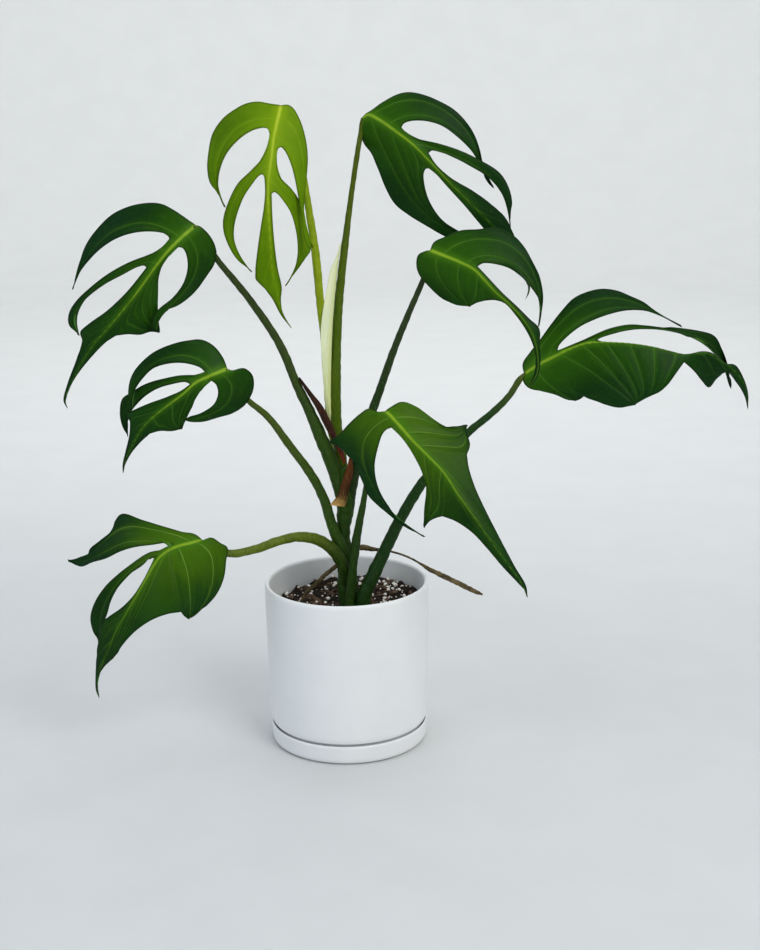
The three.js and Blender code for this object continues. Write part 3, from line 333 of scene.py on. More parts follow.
SHOOT: list[StalkPoint] = [
    (350, 628, 0, 9), (349, 603, 0, 10.5), (347.5, 578, 0, 10), (346, 556, 0, 8), (343.5, 534, 0, 6),
    (345, 514, 0, 8.2), (346, 490, 0, 9.6), (343, 468, 0, 7.6),
]
STALKS: dict[str, list[StalkPoint]] = {
    "petiole_1": [
        (342, 468, -10, 3.4), (331, 430, -17, 3.6), (328, 388, -15, 3.8), (325, 345, -9, 3.8),
        (320, 300, -2, 3.9), (315.8, 256, 0, 4), (309.5, 214, 3, 3.5), (304, 180, 4, 3.1), (297, 146, 6, 2.6),
        (290, 120, 9, 2.2), (282, 107, 15, 2),
    ],
    "petiole_2": [
        (343, 474, -4, 6), (336.5, 425, -8, 5.4), (335.6, 390, -10, 5.3), (336.6, 340, -14, 4.6),
        (338.8, 302, -18, 4.3), (342, 270, -21, 3.9), (344.6, 248, -24, 3.6), (350.6, 200, -28, 2.6),
        (357.9, 150, -31, 2.5), (361, 131, -33, 2.4), (362, 118, -30, 2.1),
    ],
    "petiole_3": [
        (343, 500, 1, 6.5), (333, 466, 4, 7), (322, 440, 6, 6.6), (310, 412, 6, 5.2), (297, 385, 5, 4.4),
        (280, 345, 4, 4), (250, 300, 3, 3.5), (216, 258, 3, 2.9), (205, 241, 9, 2.6), (194, 226.5, 19, 2.1),
    ],
    "petiole_4": [
        (349, 562, 3, 6), (339.5, 543, 6, 6.2), (331, 522, 9, 5.2), (324.3, 500, 12, 4.8),
        (312, 476, 17, 4.4), (290, 446, 25, 3.9), (268, 417, 33, 3.3), (248, 400, 38, 2.7),
        (238, 386, 44, 2.4), (226, 370, 54, 2),
    ],
    "petiole_5": [
        (347, 588, 4, 5.6), (344, 568, 9, 6), (334, 551, 15, 6.2), (319, 540.3, 22, 5.6),
        (300, 536.8, 31, 4.9), (280, 540.5, 40, 4.4), (256, 549, 50, 4.2), (230, 553.5, 59, 3.8),
        (216, 548, 63, 3.1), (203, 541, 63, 2.2),
    ],
    "petiole_6": [
        (348, 628, 17, 4.8), (350, 600, 17, 4.6), (352.8, 567, 17, 4.3), (354.8, 553, 19, 4.4),
        (356.3, 540, 21, 4.4), (358.2, 529, 24, 4), (360.3, 518, 27, 3.6), (362.6, 506.7, 30, 3.2),
        (364.6, 495.6, 34, 2.7), (368, 476, 43, 2.8), (374, 448, 57, 2.8), (380, 426, 68, 2.6),
        (386, 412.5, 79, 2.2),
    ],
    "petiole_7": [
        (348.5, 512, 1, 5.2), (352.5, 480, 3, 6), (361, 450, 3, 5), (369.3, 420, 2, 4.5), (379.5, 391, 0, 4),
        (395, 347, -3, 3.5), (411, 308, -5, 3), (423, 280, -3, 2.6), (427, 266, 2, 2.4), (431, 251.5, 13, 2),
    ],
    "petiole_8": [
        (364, 628, 15, 7), (363, 600, 15, 7.4), (371, 580, 13, 7), (386, 548, 9, 6.2), (402, 516, 5, 5.6),
        (423, 482, 0, 5), (446, 456, -6, 4.2), (470, 431, -13, 3.8), (492, 413, -20, 3.5),
        (509, 396, -27, 3.2), (518, 382, -32, 3.3), (525, 373, -34, 2.4),
    ],
}
ROOTS: dict[str, list[StalkPoint]] = {
    "aerial_root_right": [
        (352, 547, -2, 2.6), (366, 547.8, -6, 3), (371, 548.8, -7, 2.5), (377, 549.6, -8, 1.8),
        (391, 551.5, -8, 1.1), (408, 557, -7, 1), (421, 564, -6, 1.1), (428, 568.5, -5, 2.2),
        (440, 574.5, -3, 2.6), (460, 584, 0, 2.6), (474, 591, 3, 2.4), (482.5, 594.5, 4, 2),
    ],
    "aerial_root_left": [
        (345, 559, 2, 2.3), (337, 565.5, 0, 2.3), (325, 575, -3, 2.2), (316, 584, -4, 2.1), (307, 592, -4, 2),
        (300, 603, -4, 1.7),
    ],
}
SHEATHS: dict[str, SheathDrawing] = {
    "pale_sheath": SheathDrawing(
        left=[(340.2, 243.4, -21), (336.2, 256.8, -17), (330.8, 268.9, -12), (326.8, 289, -5),
              (322.8, 311.8, 2), (320.8, 331.9, 1), (321.2, 350.6, 0), (322, 364, -2), (323.5, 384, -5),
              (324.8, 403, -7), (330, 424, -9)],
        right=[(341, 245, -22), (338.9, 256.8, -20), (335.5, 287.6, -15), (333.2, 315.8, -11), (332, 337, -9),
               (331.2, 364, -8), (331, 391, -7.5), (331.8, 407, -7), (333, 423, -7)],
    ),
    "dry_sheath_upper": SheathDrawing(
        left=[(298.5, 379, 9), (307, 393, 11), (316, 408, 13), (323, 423, 14), (331, 438, 14), (338, 452, 13),
              (344, 464, 11)],
        right=[(299.5, 377, 7), (312, 393, 7), (322.5, 406, 8), (330, 420, 9), (336, 434, 10), (342, 448, 10),
               (346, 462, 10)],
    ),
    "dry_sheath_lower": SheathDrawing(
        left=[(349.5, 457, 10.6), (347.3, 466, 10.6), (344, 476, 10.6), (340.5, 487, 10.5), (337, 496, 11.2),
              (330, 505, 15)],
        right=[(351.5, 458, 10.2), (353, 466, 10.2), (352.5, 476, 10.2), (350, 486, 10.3), (347.5, 498, 10.8),
               (344.5, 507, 13.5)],
    ),
}


# Lines and meshes: a line is measured in 40 steps for each point, and points on the same micron are one.

TRACE_STEPS = 40
TINY = 1e-4
MICRONS = 1000


def curve_at(points: Array, where: Array) -> Array:
    """Points of a centripetal Catmull-Rom line.

    Args:
        points: the points that the line passes through.
        where: parameters from 0 to 1, spread evenly over the spans.

    Returns:
        One row for each parameter.
    """
    ends = np.vstack([2 * points[0] - points[1], points, 2 * points[-1] - points[-2]])
    spans = len(points) - 1
    position = np.clip(where, 0.0, 1.0) * spans
    first = np.minimum(position.astype(int), spans - 1)
    part = (position - first)[:, None]
    p0, p1, p2, p3 = (ends[first + i] for i in range(4))
    before, middle, after = (
        np.sqrt(np.linalg.norm(b - a, axis=1))[:, None] for a, b in ((p0, p1), (p1, p2), (p2, p3))
    )
    middle = np.where(middle < TINY, 1.0, middle)
    before = np.where(before < TINY, middle, before)
    after = np.where(after < TINY, middle, after)
    start = ((p1 - p0) / before - (p2 - p0) / (before + middle) + (p2 - p1) / middle) * middle
    end = ((p2 - p1) / middle - (p3 - p1) / (middle + after) + (p3 - p2) / after) * middle
    return (
        p1
        + start * part
        + (3 * (p2 - p1) - 2 * start - end) * part**2
        + (2 * (p1 - p2) + start + end) * part**3
    )


def smooth_line(points: Array, steps: int) -> Array:
    """Draws a smooth line through points, cut into steps of even length.

    Args:
        points: the points that it passes through.
        steps: how many steps it has.

    Returns:
        The ends of its steps, as rows.
    """
    where = np.linspace(0.0, 1.0, TRACE_STEPS * len(points) + 1)
    runs = np.linalg.norm(np.diff(curve_at(points, where), axis=0), axis=1)
    travelled = np.concatenate([[0.0], np.cumsum(runs)])
    even = np.linspace(0.0, travelled[-1], steps + 1)
    return curve_at(points, np.interp(even, travelled, where))


def length_of(line: Array) -> float:
    """The length of a line of points."""
    return float(np.linalg.norm(np.diff(line, axis=0), axis=1).sum())


def ease(value: Array, low: float, high: float) -> Array:
    """A smooth step from 0 at low to 1 at high."""
    part = np.clip((value - low) / (high - low), 0.0, 1.0)
    return part * part * (3 - 2 * part)


def full_turn(count: int) -> Array:
    """Evenly spaced angles round a full turn."""
    return np.linspace(0.0, 2 * np.pi, count, endpoint=False)


def grid_triangles(rows: int, columns: int) -> Array:
    """Divides a grid whose points are numbered row by row.

    Args:
        rows: how many rows of points it has.
        columns: how many points lie in a row.

    Returns:
        Its triangles, as rows of three point numbers.
    """
    row, column = np.meshgrid(np.arange(rows - 1), np.arange(columns - 1), indexing="ij")
    a = (row * columns + column).ravel()
    b, c, d = a + 1, a + columns + 1, a + columns
    return np.vstack([np.column_stack([a, b, c]), np.column_stack([a, c, d])])


def tube_triangles(rings: int, sides: int, closed: bool = False) -> Array:
    """Divides the wall between rings of points that are numbered ring by ring.

    Args:
        rings: how many rings there are.
        sides: how many points lie on a ring.
        closed: whether the last ring joins the first one.

    Returns:
        Its triangles, as rows of three point numbers.
    """
    ring, side = np.meshgrid(np.arange(rings if closed else rings - 1), np.arange(sides), indexing="ij")
    after, below = (side + 1) % sides, (ring + 1) % rings
    a, b = (ring * sides + side).ravel(), (ring * sides + after).ravel()
    c, d = (below * sides + after).ravel(), (below * sides + side).ravel()
    return np.vstack([np.column_stack([a, b, c]), np.column_stack([a, c, d])])


def cap_triangles(rings: int, sides: int) -> Array:
    """Closes a tube's first and last ring, each round a middle point that is numbered after all rings.

    Args:
        rings: how many rings there are.
        sides: how many points lie on a ring.

    Returns:
        Their triangles, as rows of three point numbers.
    """
    side = np.arange(sides)
    after, last, centre = (side + 1) % sides, (rings - 1) * sides, rings * sides
    return np.vstack([
        np.column_stack([after, side, np.full(sides, centre)]),
        np.column_stack([last + side, last + after, np.full(sides, centre + 1)]),
    ])


def edges_of(triangles: Array) -> Array:
    """The three edges of every triangle, each as from and to."""
    return np.vstack([triangles[:, [0, 1]], triangles[:, [1, 2]], triangles[:, [2, 0]]])


def are_sound(triangles: Array) -> Array:
    """Whether each triangle has three different corners."""
    return (triangles != np.roll(triangles, 1, axis=1)).all(axis=1)


def open_edges(triangles: Array) -> Array:
    """Finds the edges that only one triangle has.

    Args:
        triangles: rows of three point numbers.

    Returns:
        Those edges, each as from and to.
    """
    edges = edges_of(triangles)
    width = int(triangles.max()) + 1
    forward = edges[:, 0] * width + edges[:, 1]
    backward = edges[:, 1] * width + edges[:, 0]
    return edges[~np.isin(forward, backward)]


def normals_of(points: Array, triangles: Array) -> Array:
    """Works out the way that the surface faces at each point.

    Args:
        points: rows of x, y and z.
        triangles: rows of three point numbers.

    Returns:
        Unit normals, weighted by the area of the faces round each point.
    """
    a, b, c = (points[triangles[:, i]] for i in range(3))
    faces = np.cross(b - a, c - a)
    total = np.zeros_like(points)
    for i in range(3):
        np.add.at(total, triangles[:, i], faces)
    return total / np.maximum(np.linalg.norm(total, axis=1, keepdims=True), 1e-12)


@dataclass
class Shape:
    """A mesh in the making: points in mm, triangles, and what its finish reads from it."""

    points: Array
    triangles: Array
    values: dict[str, Array] = field(default_factory=dict)
    corner_map: Array | None = None
    finish_of: Array | None = None

    def piece(self, name: str, node: str, slot: str, finishes: list[Material]) -> None:
        """Makes the object, dresses it and says what it stands for.

        Args:
            name: the piece's name.
            node: the plain solid that it replaces, or on which it lies where that is already replaced.
            slot: the name of a material slot; not used.
            finishes: its materials, in the order that finish_of counts them.
        """
        mesh = bpy.data.meshes.new(name)
        mesh.from_pydata((self.points * MM).tolist(), [], self.triangles.tolist())
        for material in finishes:
            mesh.materials.append(material)
        if self.finish_of is not None:
            mesh.polygons.foreach_set("material_index", self.finish_of.astype(np.int32))
        for key, value in self.values.items():
            layer = mesh.attributes.new(key, "FLOAT", "POINT")
            layer.data.foreach_set("value", value.astype(np.float32))
        if self.corner_map is not None:
            layer = mesh.uv_layers.new(name="veins")
            layer.uv.foreach_set("vector", self.corner_map.astype(np.float32).ravel())
        mesh.shade_smooth()
        mesh.update()
        thing = bpy.data.objects.new(name, mesh)
        bpy.context.scene.collection.objects.link(thing)
        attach(thing, "root")
        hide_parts(node)
        LOG.info("%s: %d triangles for %s", name, len(self.triangles), node)


# Finishes


def linear(colour: str) -> tuple[float, float, float, float]:
    """Turns a colour into linear values.

    Args:
        colour: an sRGB hex colour.

    Returns:
        Red, green, blue and full alpha.
    """
    parts = [int(colour[i:i + 2], 16) / 255 for i in (1, 3, 5)]
    red, green, blue = (c / 12.92 if c <= 0.04045 else ((c + 0.055) / 1.055) ** 2.4 for c in parts)
    return red, green, blue, 1.0


def add(tree: Tree, kind: str, settings: Settings | None = None, links: Links | None = None) -> Node:
    """Adds a node with its settings and links.

    Args:
        tree: the material's nodes.
        kind: the node's type without its leading word.
        settings: properties by name, and unlinked inputs by name or number.
        links: what feeds each linked input, a socket or a node's first output.

    Returns:
        The new node.
    """
    node = tree.nodes.new("ShaderNode" + kind)
    for key, value in (settings or {}).items():
        if isinstance(key, str) and hasattr(node, key):
            setattr(node, key, value)
        else:
            node.inputs[key].default_value = value
    for key, feed in (links or {}).items():
        tree.links.new(feed if isinstance(feed, Socket) else feed.outputs[0], node.inputs[key])
    return node


def per_mm(size: float) -> float:
    """The texture scale at which a pattern's parts are about this many mm wide."""
    return 1.0 / (size * MM)


Layer = tuple[Feed, str, float]

# Settings by name. In a range, 1 and 2 are where it starts and ends, and 3 and 4 what it gives there, which
# is 0 and 1 unless it says otherwise. Ranges from an edge, a vein or the midrib are in mm, those along a
# blade are shares of its length, and a noise lies mostly between 0.3 and 0.7.
TIMES = {"operation": "MULTIPLY"}
PLUS = {"operation": "ADD"}
OVER = {"operation": "DIVIDE"}
BLEND = {"data_type": "RGBA"}
SMOOTH = {"interpolation_type": "SMOOTHSTEP"}
FALLING = {**SMOOTH, 3: 1.0, 4: 0.0}
NOISE_LOW, NOISE_HIGH = 0.3, 0.7
VEINS_FROM_EDGE = {**SMOOTH, 1: 0.5, 2: 9.0}
VEINS_OUTWARDS = {1: 6.0, 2: 70.0, 3: 1.0, 4: 0.12}
VEINS_TIPWARD = {1: 0.25, 2: 0.8, 3: 1.0, 4: 0.3}
VEIN_CORE = {**FALLING, 1: 0.1, 2: 0.65}
VEIN_HALO = {**FALLING, 1: 0.2, 2: 4.0}
HALF_RIB = {1: 0.0, 2: 0.8, 3: 1.9, 4: 0.4}
RIB_ACROSS = {**FALLING, 1: 0.2, 2: 1.4}
RIB_TIPWARD = {1: 0.05, 2: 0.65, 3: 1.0, 4: 0.3}
GLOW_ACROSS = {**FALLING, 1: 0.0, 2: 1.0}
DARK_MARGIN = {**FALLING, 1: 0.4, 2: 2.6}
DARK_TIP = {**SMOOTH, 1: 0.5, 2: 1.0}
LIGHT_STREAKS = {**SMOOTH, 1: 0.52, 2: 0.7}
DARK_STREAKS = {**FALLING, 1: 0.3, 2: 0.47}
LEAF_PATCHES = {**SMOOTH, 1: 0.38, 2: 0.66}
LEAF_SPECKS = {1: 0.5, 2: 0.8}
STALK_FLECKS = {1: 0.55, 2: 0.75}
STALK_STREAKS = {1: 0.4, 2: 0.7}
GRAINS = {1: 0.5, 2: 0.75}
SHEATH_SIDE = {**SMOOTH, 1: 0.45, 2: 0.95}
SHEATH_WANDER = {1: NOISE_LOW, 2: NOISE_HIGH, 3: -0.08, 4: 0.08}
GLAZE_TONE = {1: 0.35, 2: 0.7}
BLADE_VALUES = ("rib_mm", "along", "edge_mm")


@dataclass
class Coat:
    """A material in the making: its nodes, its shader and the place on the object."""

    material: Material
    tree: Tree
    shader: Node
    place: Socket

    def layered(self, colour: Feed, layers: list[Layer]) -> Socket:
        """Lays colours over a colour in turn.

        Args:
            colour: the colour below.
            layers: for each one its mask, its hex colour and how strongly it covers.

        Returns:
            The colour on top.
        """
        for mask, over, strength in layers:
            cover = add(self.tree, "Math", {**TIMES, 1: strength, "use_clamp": True}, {0: mask})
            colour = add(self.tree, "Mix", {**BLEND, 7: linear(over)}, {0: cover, 6: colour}).outputs[2]
        return colour

    def sheen(self, pattern: Feed, smoothest: float, roughest: float) -> None:
        """Makes the roughness wander with a pattern.

        Args:
            pattern: a noise.
            smoothest: the roughness where the noise is low.
            roughest: the roughness where it is high.
        """
        ends = {1: NOISE_LOW, 2: NOISE_HIGH, 3: smoothest, 4: roughest}
        wander = add(self.tree, "MapRange", ends, {0: pattern})
        self.tree.links.new(wander.outputs[0], self.shader.inputs["Roughness"])

    def surface(self, colour: Socket, height: Feed, strength: float, depth: float) -> Material:
        """Gives the shader its colour and its relief.

        Args:
            colour: the finished colour.
            height: the pattern that stands up from the surface.
            strength: how strongly the relief shows.
            depth: how deep it is, in mm.

        Returns:
            The finished material.
        """
        self.tree.links.new(colour, self.shader.inputs["Base Color"])
        bump = add(self.tree, "Bump", {"Strength": strength, "Distance": depth * MM}, {"Height": height})
        self.tree.links.new(bump.outputs[0], self.shader.inputs["Normal"])
        return self.material


@dataclass(frozen=True)
class Finish(ABC):
    """What every finish has: its name, its main colours, and how rough, refractive and glossy it is."""

    name: str
    base: str
    second: str
    roughness: float = 0.5
    ior: float = 1.45
    gloss: float = 0.5

    @abstractmethod
    def material(self) -> Material:
        """Makes the material."""

    def start(self) -> Coat:
        """Starts the material with its shader.

        Returns:
            The material in the making.
        """
        material = bpy.data.materials.new(self.name)
        material.use_nodes = True
        tree = material.node_tree
        tree.nodes.clear()
        look = {"Roughness": self.roughness, "IOR": self.ior, "Specular IOR Level": self.gloss}
        shader = add(tree, "BsdfPrincipled", look)
        add(tree, "OutputMaterial", links={"Surface": shader})
        return Coat(material, tree, shader, add(tree, "TexCoord").outputs["Object"])


@dataclass(frozen=True)
class LeafSkin(Finish):
    """Living leaf, waxy above and matt below: thin pale veins that fade outwards, and a glowing midrib.

    coarse is the width of its cloudy patches and fine that of its specks. A real leaf's pores are about
    0.05 mm wide, and pore draws them coarser so that they show.
    """

    vein: str = "#4f7a28"
    rib: str = "#86a828"
    glow: str = "#41720c"
    # The colour below paints the glow of light shining through the thin blade beside the base of the midrib.
    backlit_green: str = "#305c07"
    outer: str = "#0c2c14"
    margin: str = "#091c08"
    vein_strength: float = 0.65
    # How strongly that painted glow covers, how far from the midrib it reaches in mm, and the share of the
    # midrib where it ends.
    backlit_strength: float = 0.65
    backlit_reach: float = 52.0
    backlit_end: float = 0.75
    glow_width: float = 10.0
    glow_strength: float = 0.8
    outer_strength: float = 0.75
    outer_from: float = 18.0
    outer_to: float = 75.0
    gloss: float = 0.08
    coarse: float = 34.0
    fine: float = 2.6
    pore: float = 0.7

    def veins(self, tree: Tree, parts: Node, rib_mm: Socket, along: Socket,
              edge_mm: Socket) -> tuple[Node, Node]:
        """Draws the side veins, which fade towards the margin and towards the tip.

        Args:
            tree: the material's nodes.
            parts: the vein number and the width of a vein's band.
            rib_mm: the distance to the midrib.
            along: the share of the midrib.
            edge_mm: the distance to the margin.

        Returns:
            Masks of the veins and of the paler skin beside them.
        """
        shifted = add(tree, "Math", {**PLUS, 1: 0.5}, {0: parts.outputs[0]})
        from_vein = add(tree, "Math", {"operation": "PINGPONG", 1: 0.5}, {0: shifted})
        vein_mm = add(tree, "Math", TIMES, {0: from_vein, 1: parts.outputs[1]})
        inside = add(tree, "MapRange", VEINS_FROM_EDGE, {0: edge_mm})
        fading = add(tree, "MapRange", VEINS_OUTWARDS, {0: rib_mm})
        ageing = add(tree, "MapRange", VEINS_TIPWARD, {0: along})
        faded = add(tree, "Math", TIMES, {0: fading, 1: ageing})
        shown = add(tree, "Math", TIMES, {0: inside, 1: faded})
        core = add(tree, "MapRange", VEIN_CORE, {0: vein_mm})
        halo = add(tree, "MapRange", VEIN_HALO, {0: vein_mm})
        return add(tree, "Math", TIMES, {0: core, 1: shown}), add(tree, "Math", TIMES, {0: halo, 1: shown})

    def midrib(self, tree: Tree, rib_mm: Socket, along: Socket) -> tuple[Node, Node]:
        """Draws the midrib, about 3 mm wide at the stalk and under 1 mm at the tip.

        Args:
            tree: the material's nodes.
            rib_mm: the distance to the midrib.
            along: the share of the midrib.

        Returns:
            Masks of the midrib and of the pale zone beside it, which narrows in the same way.
        """
        half_rib = add(tree, "MapRange", HALF_RIB, {0: along})
        rib_part = add(tree, "Math", OVER, {0: rib_mm, 1: half_rib})
        rib = add(tree, "MapRange", RIB_ACROSS, {0: rib_part})
        reach = add(tree, "MapRange", {1: 0.0, 2: 0.9, 3: self.glow_width, 4: 2.0}, {0: along})
        near = add(tree, "Math", OVER, {0: rib_mm, 1: reach})
        glow = add(tree, "MapRange", GLOW_ACROSS, {0: near})
        bright = add(tree, "MapRange", RIB_TIPWARD, {0: along})
        return add(tree, "Math", TIMES, {0: rib, 1: bright}), add(tree, "Math", TIMES, {0: glow, 1: bright})

    def material(self) -> Material:
        """Makes the material, which reads the blade's vein map and its distances to midrib and edge.

        Returns:
            The material.
        """
        coat = self.start()
        tree, place = coat.tree, coat.place
        rib_mm, along, edge_mm = (
            add(tree, "Attribute", {"attribute_name": key}).outputs["Fac"] for key in BLADE_VALUES
        )
        parts = add(tree, "SeparateXYZ", links={0: add(tree, "UVMap", {"uv_map": "veins"})})
        core, halo = self.veins(tree, parts, rib_mm, along, edge_mm)
        rib, glow = self.midrib(tree, rib_mm, along)
        rim = add(tree, "MapRange", DARK_MARGIN, {0: edge_mm})
        patches, specks, pores = (
            add(tree, "TexNoise", {"Scale": per_mm(size), "Detail": detail}, {"Vector": place})
            for size, detail in ((self.coarse, 3.0), (self.fine, 2.0), (self.pore, 2.0))
        )
        patchy = add(tree, "MapRange", LEAF_PATCHES, {0: patches})
        base = add(tree, "Mix", {**BLEND, 6: linear(self.base), 7: linear(self.second)}, {0: patchy})
        speckled = add(tree, "MapRange", LEAF_SPECKS, {0: specks})
        # Painted glow of light through the blade beside the midrib's base; darker at lobe ends and tip.
        far = add(tree, "MapRange", {**SMOOTH, 1: self.outer_from, 2: self.outer_to}, {0: rib_mm})
        tipward = add(tree, "MapRange", DARK_TIP, {0: along})
        dark = add(tree, "Math", {"operation": "MAXIMUM"}, {0: far, 1: tipward})
        close = add(tree, "MapRange", {**FALLING, 1: 4.0, 2: self.backlit_reach}, {0: rib_mm})
        basal = add(tree, "MapRange", {**FALLING, 1: 0.1, 2: self.backlit_end}, {0: along})
        backlit_glow = add(tree, "Math", TIMES, {0: close, 1: basal})
        # Streaks follow the veins: a noise laid out on vein number and distance from the midrib, in which a
        # streak is about 35 mm long and a quarter of a vein's band wide.
        outwards = add(tree, "Math", {**TIMES, 1: 0.012}, {0: rib_mm})
        across = add(tree, "Math", {**TIMES, 1: 1.7}, {0: parts.outputs[0]})
        laid = add(tree, "CombineXYZ", links={0: across, 1: outwards})
        streaks = add(tree, "TexNoise", {"Scale": 2.4, "Detail": 3.0}, {"Vector": laid})
        light_streak = add(tree, "MapRange", LIGHT_STREAKS, {0: streaks})
        dark_streak = add(tree, "MapRange", DARK_STREAKS, {0: streaks})
        colour = coat.layered(base.outputs[2], [
            # painted glow of light shining through the blade beside the midrib's base
            (backlit_glow, self.backlit_green, self.backlit_strength),
            (dark_streak, self.outer, 0.4),
            (light_streak, self.backlit_green, 0.45),
            (dark, self.outer, self.outer_strength),
            (speckled, self.glow, 0.12),
            (halo, self.glow, self.vein_strength * 0.35),
            (core, self.vein, self.vein_strength),
            (glow, self.glow, self.glow_strength),
            (rib, self.rib, 1.0),
            (rim, self.margin, 0.6),
        ])
        coat.sheen(patches, self.roughness - 0.05, self.roughness + 0.09)
        sunk = add(tree, "Math", {**TIMES, 1: -1.6}, {0: core})
        height = add(tree, "Math", PLUS, {0: sunk, 1: pores})
        return coat.surface(colour, height, 0.5, 0.12)


@dataclass(frozen=True)
class StalkSkin(Finish):
    """Living stalk with a thin waxy skin: green with fine pale flecks, of another green towards the blade.

    Real flecks are 1 to 2 mm long and streaks a few mm. Both are drawn out lengthwise, and a stalk is mostly
    upright.
    """

    fleck: str = "#7f9a4a"
    far: str = "#3f6a1c"
    far_from: float = 0.25
    far_to: float = 1.0
    fleck_size: float = 1.4
    streak: float = 6.0
    lengthwise: float = 0.35
    gloss: float = 0.16

    def material(self) -> Material:
        """Makes the material, which reads how far along the stalk a point is.

        Returns:
            The material.
        """
        coat = self.start()
        tree = coat.tree
        along = add(tree, "Attribute", {"attribute_name": "along"}).outputs["Fac"]
        upper = add(tree, "MapRange", {**SMOOTH, 1: self.far_from, 2: self.far_to}, {0: along})
        stretched = add(tree, "Mapping", {"Scale": (1.0, 1.0, self.lengthwise)}, {"Vector": coat.place})
        flecks, streaks = (
            add(tree, "TexNoise", {"Scale": per_mm(size), "Detail": detail}, {"Vector": stretched})
            for size, detail in ((self.fleck_size, 2.0), (self.streak, 3.0))
        )
        flecked = add(tree, "MapRange", STALK_FLECKS, {0: flecks})
        streaked = add(tree, "MapRange", STALK_STREAKS, {0: streaks})
        base = add(tree, "Mix", {**BLEND, 6: linear(self.base), 7: linear(self.far)}, {0: upper})
        colour = coat.layered(base.outputs[2], [(streaked, self.second, 0.55), (flecked, self.fleck, 0.3)])
        coat.sheen(streaks, self.roughness - 0.06, self.roughness + 0.1)
        return coat.surface(colour, flecks, 0.35, 0.15)


@dataclass(frozen=True)
class MottledFinish(Finish):
    """A dry or mineral surface, patchy in colour and grainy in relief.

    patch is the width of its patches and grain that of its grains. Dust and grit finer than about 0.5 mm are
    drawn coarser so that they show.
    """

    third: str = "#808080"
    patch: float = 6.0
    grain: float = 0.8
    relief: float = 0.2
    stretch: tuple[float, float, float] = (1.0, 1.0, 1.0)
    third_strength: float = 0.5
    low: float = 0.35
    high: float = 0.65

    def material(self) -> Material:
        """Makes the material from patches, a third tone and a grain.

        Returns:
            The material.
        """
        coat = self.start()
        tree = coat.tree
        stretched = add(tree, "Mapping", {"Scale": self.stretch}, {"Vector": coat.place})
        patches, grains = (
            add(tree, "TexNoise", {"Scale": per_mm(size), "Detail": detail}, {"Vector": stretched})
            for size, detail in ((self.patch, 4.0), (self.grain, 3.0))
        )
        tone = add(tree, "MapRange", {**SMOOTH, 1: self.low, 2: self.high}, {0: patches})
        base = add(tree, "Mix", {**BLEND, 6: linear(self.base), 7: linear(self.second)}, {0: tone})
        grainy = add(tree, "MapRange", GRAINS, {0: grains})
        colour = coat.layered(base.outputs[2], [(grainy, self.third, self.third_strength)])
        return coat.surface(colour, grains, 0.6, self.relief)


@dataclass(frozen=True)
class SheathSkin(Finish):
    """Thin sheath tissue: one colour at its upper end, others lower down, a margin and long fibres.

    The real fibres are about 0.3 mm wide and are drawn coarser so that they show.
    """

    end: str = "#d9a868"
    margin: str = "#c8d84a"
    margin_strength: float = 0.6
    middle_at: float = 0.5
    fibre: float = 1.1
    lengthwise: float = 0.15
    gloss: float = 0.15

    def material(self) -> Material:
        """Makes the material, which reads how far along and how far across the strip a point is.

        Returns:
            The material.
        """
        coat = self.start()
        tree = coat.tree
        along, across = (
            add(tree, "Attribute", {"attribute_name": key}).outputs["Fac"] for key in ("along", "across")
        )
        drawn_out = add(tree, "Mapping", {"Scale": (1.0, 1.0, self.lengthwise)}, {"Vector": coat.place})
        fibres = add(tree, "TexNoise", {"Scale": per_mm(self.fibre), "Detail": 3.0}, {"Vector": drawn_out})
        wander = add(tree, "MapRange", SHEATH_WANDER, {0: fibres})
        moved = add(tree, "Math", PLUS, {0: along, 1: wander})
        ramp = add(tree, "ValToRGB", links={0: moved})
        ramp.color_ramp.elements[0].color = linear(self.base)
        ramp.color_ramp.elements[1].color = linear(self.end)
        ramp.color_ramp.elements.new(self.middle_at).color = linear(self.second)
        side = add(tree, "MapRange", SHEATH_SIDE, {0: across})
        threads = add(tree, "MapRange", GRAINS, {0: fibres})
        colour = coat.layered(ramp, [(side, self.margin, self.margin_strength), (threads, self.end, 0.25)])
        return coat.surface(colour, fibres, 0.5, 0.2)


@dataclass(frozen=True)
class SatinGlaze(Finish):
    """Cast stoneware under a white satin glaze: even, softly shining, with the faint waviness of a glaze.

    wave is the width of its waves. The fine skin of a glaze is about 0.3 mm wide, and pin draws it coarser so
    that it shows.
    """

    wave: float = 24.0
    pin: float = 1.2

    def material(self) -> Material:
        """Makes the material from a slow change of tone and a fine uneven skin.

        Returns:
            The material.
        """
        coat = self.start()
        waves, pins = (
            add(coat.tree, "TexNoise", {"Scale": per_mm(size), "Detail": 2.0}, {"Vector": coat.place})
            for size in (self.wave, self.pin)
        )
        tone = add(coat.tree, "MapRange", GLAZE_TONE, {0: waves})
        ends = {**BLEND, 6: linear(self.base), 7: linear(self.second)}
        colour = add(coat.tree, "Mix", ends, {0: tone}).outputs[2]
        coat.sheen(pins, self.roughness - 0.04, self.roughness + 0.06)
        return coat.surface(colour, pins, 0.25, 0.08)


# Stalks, the shoot and the roots


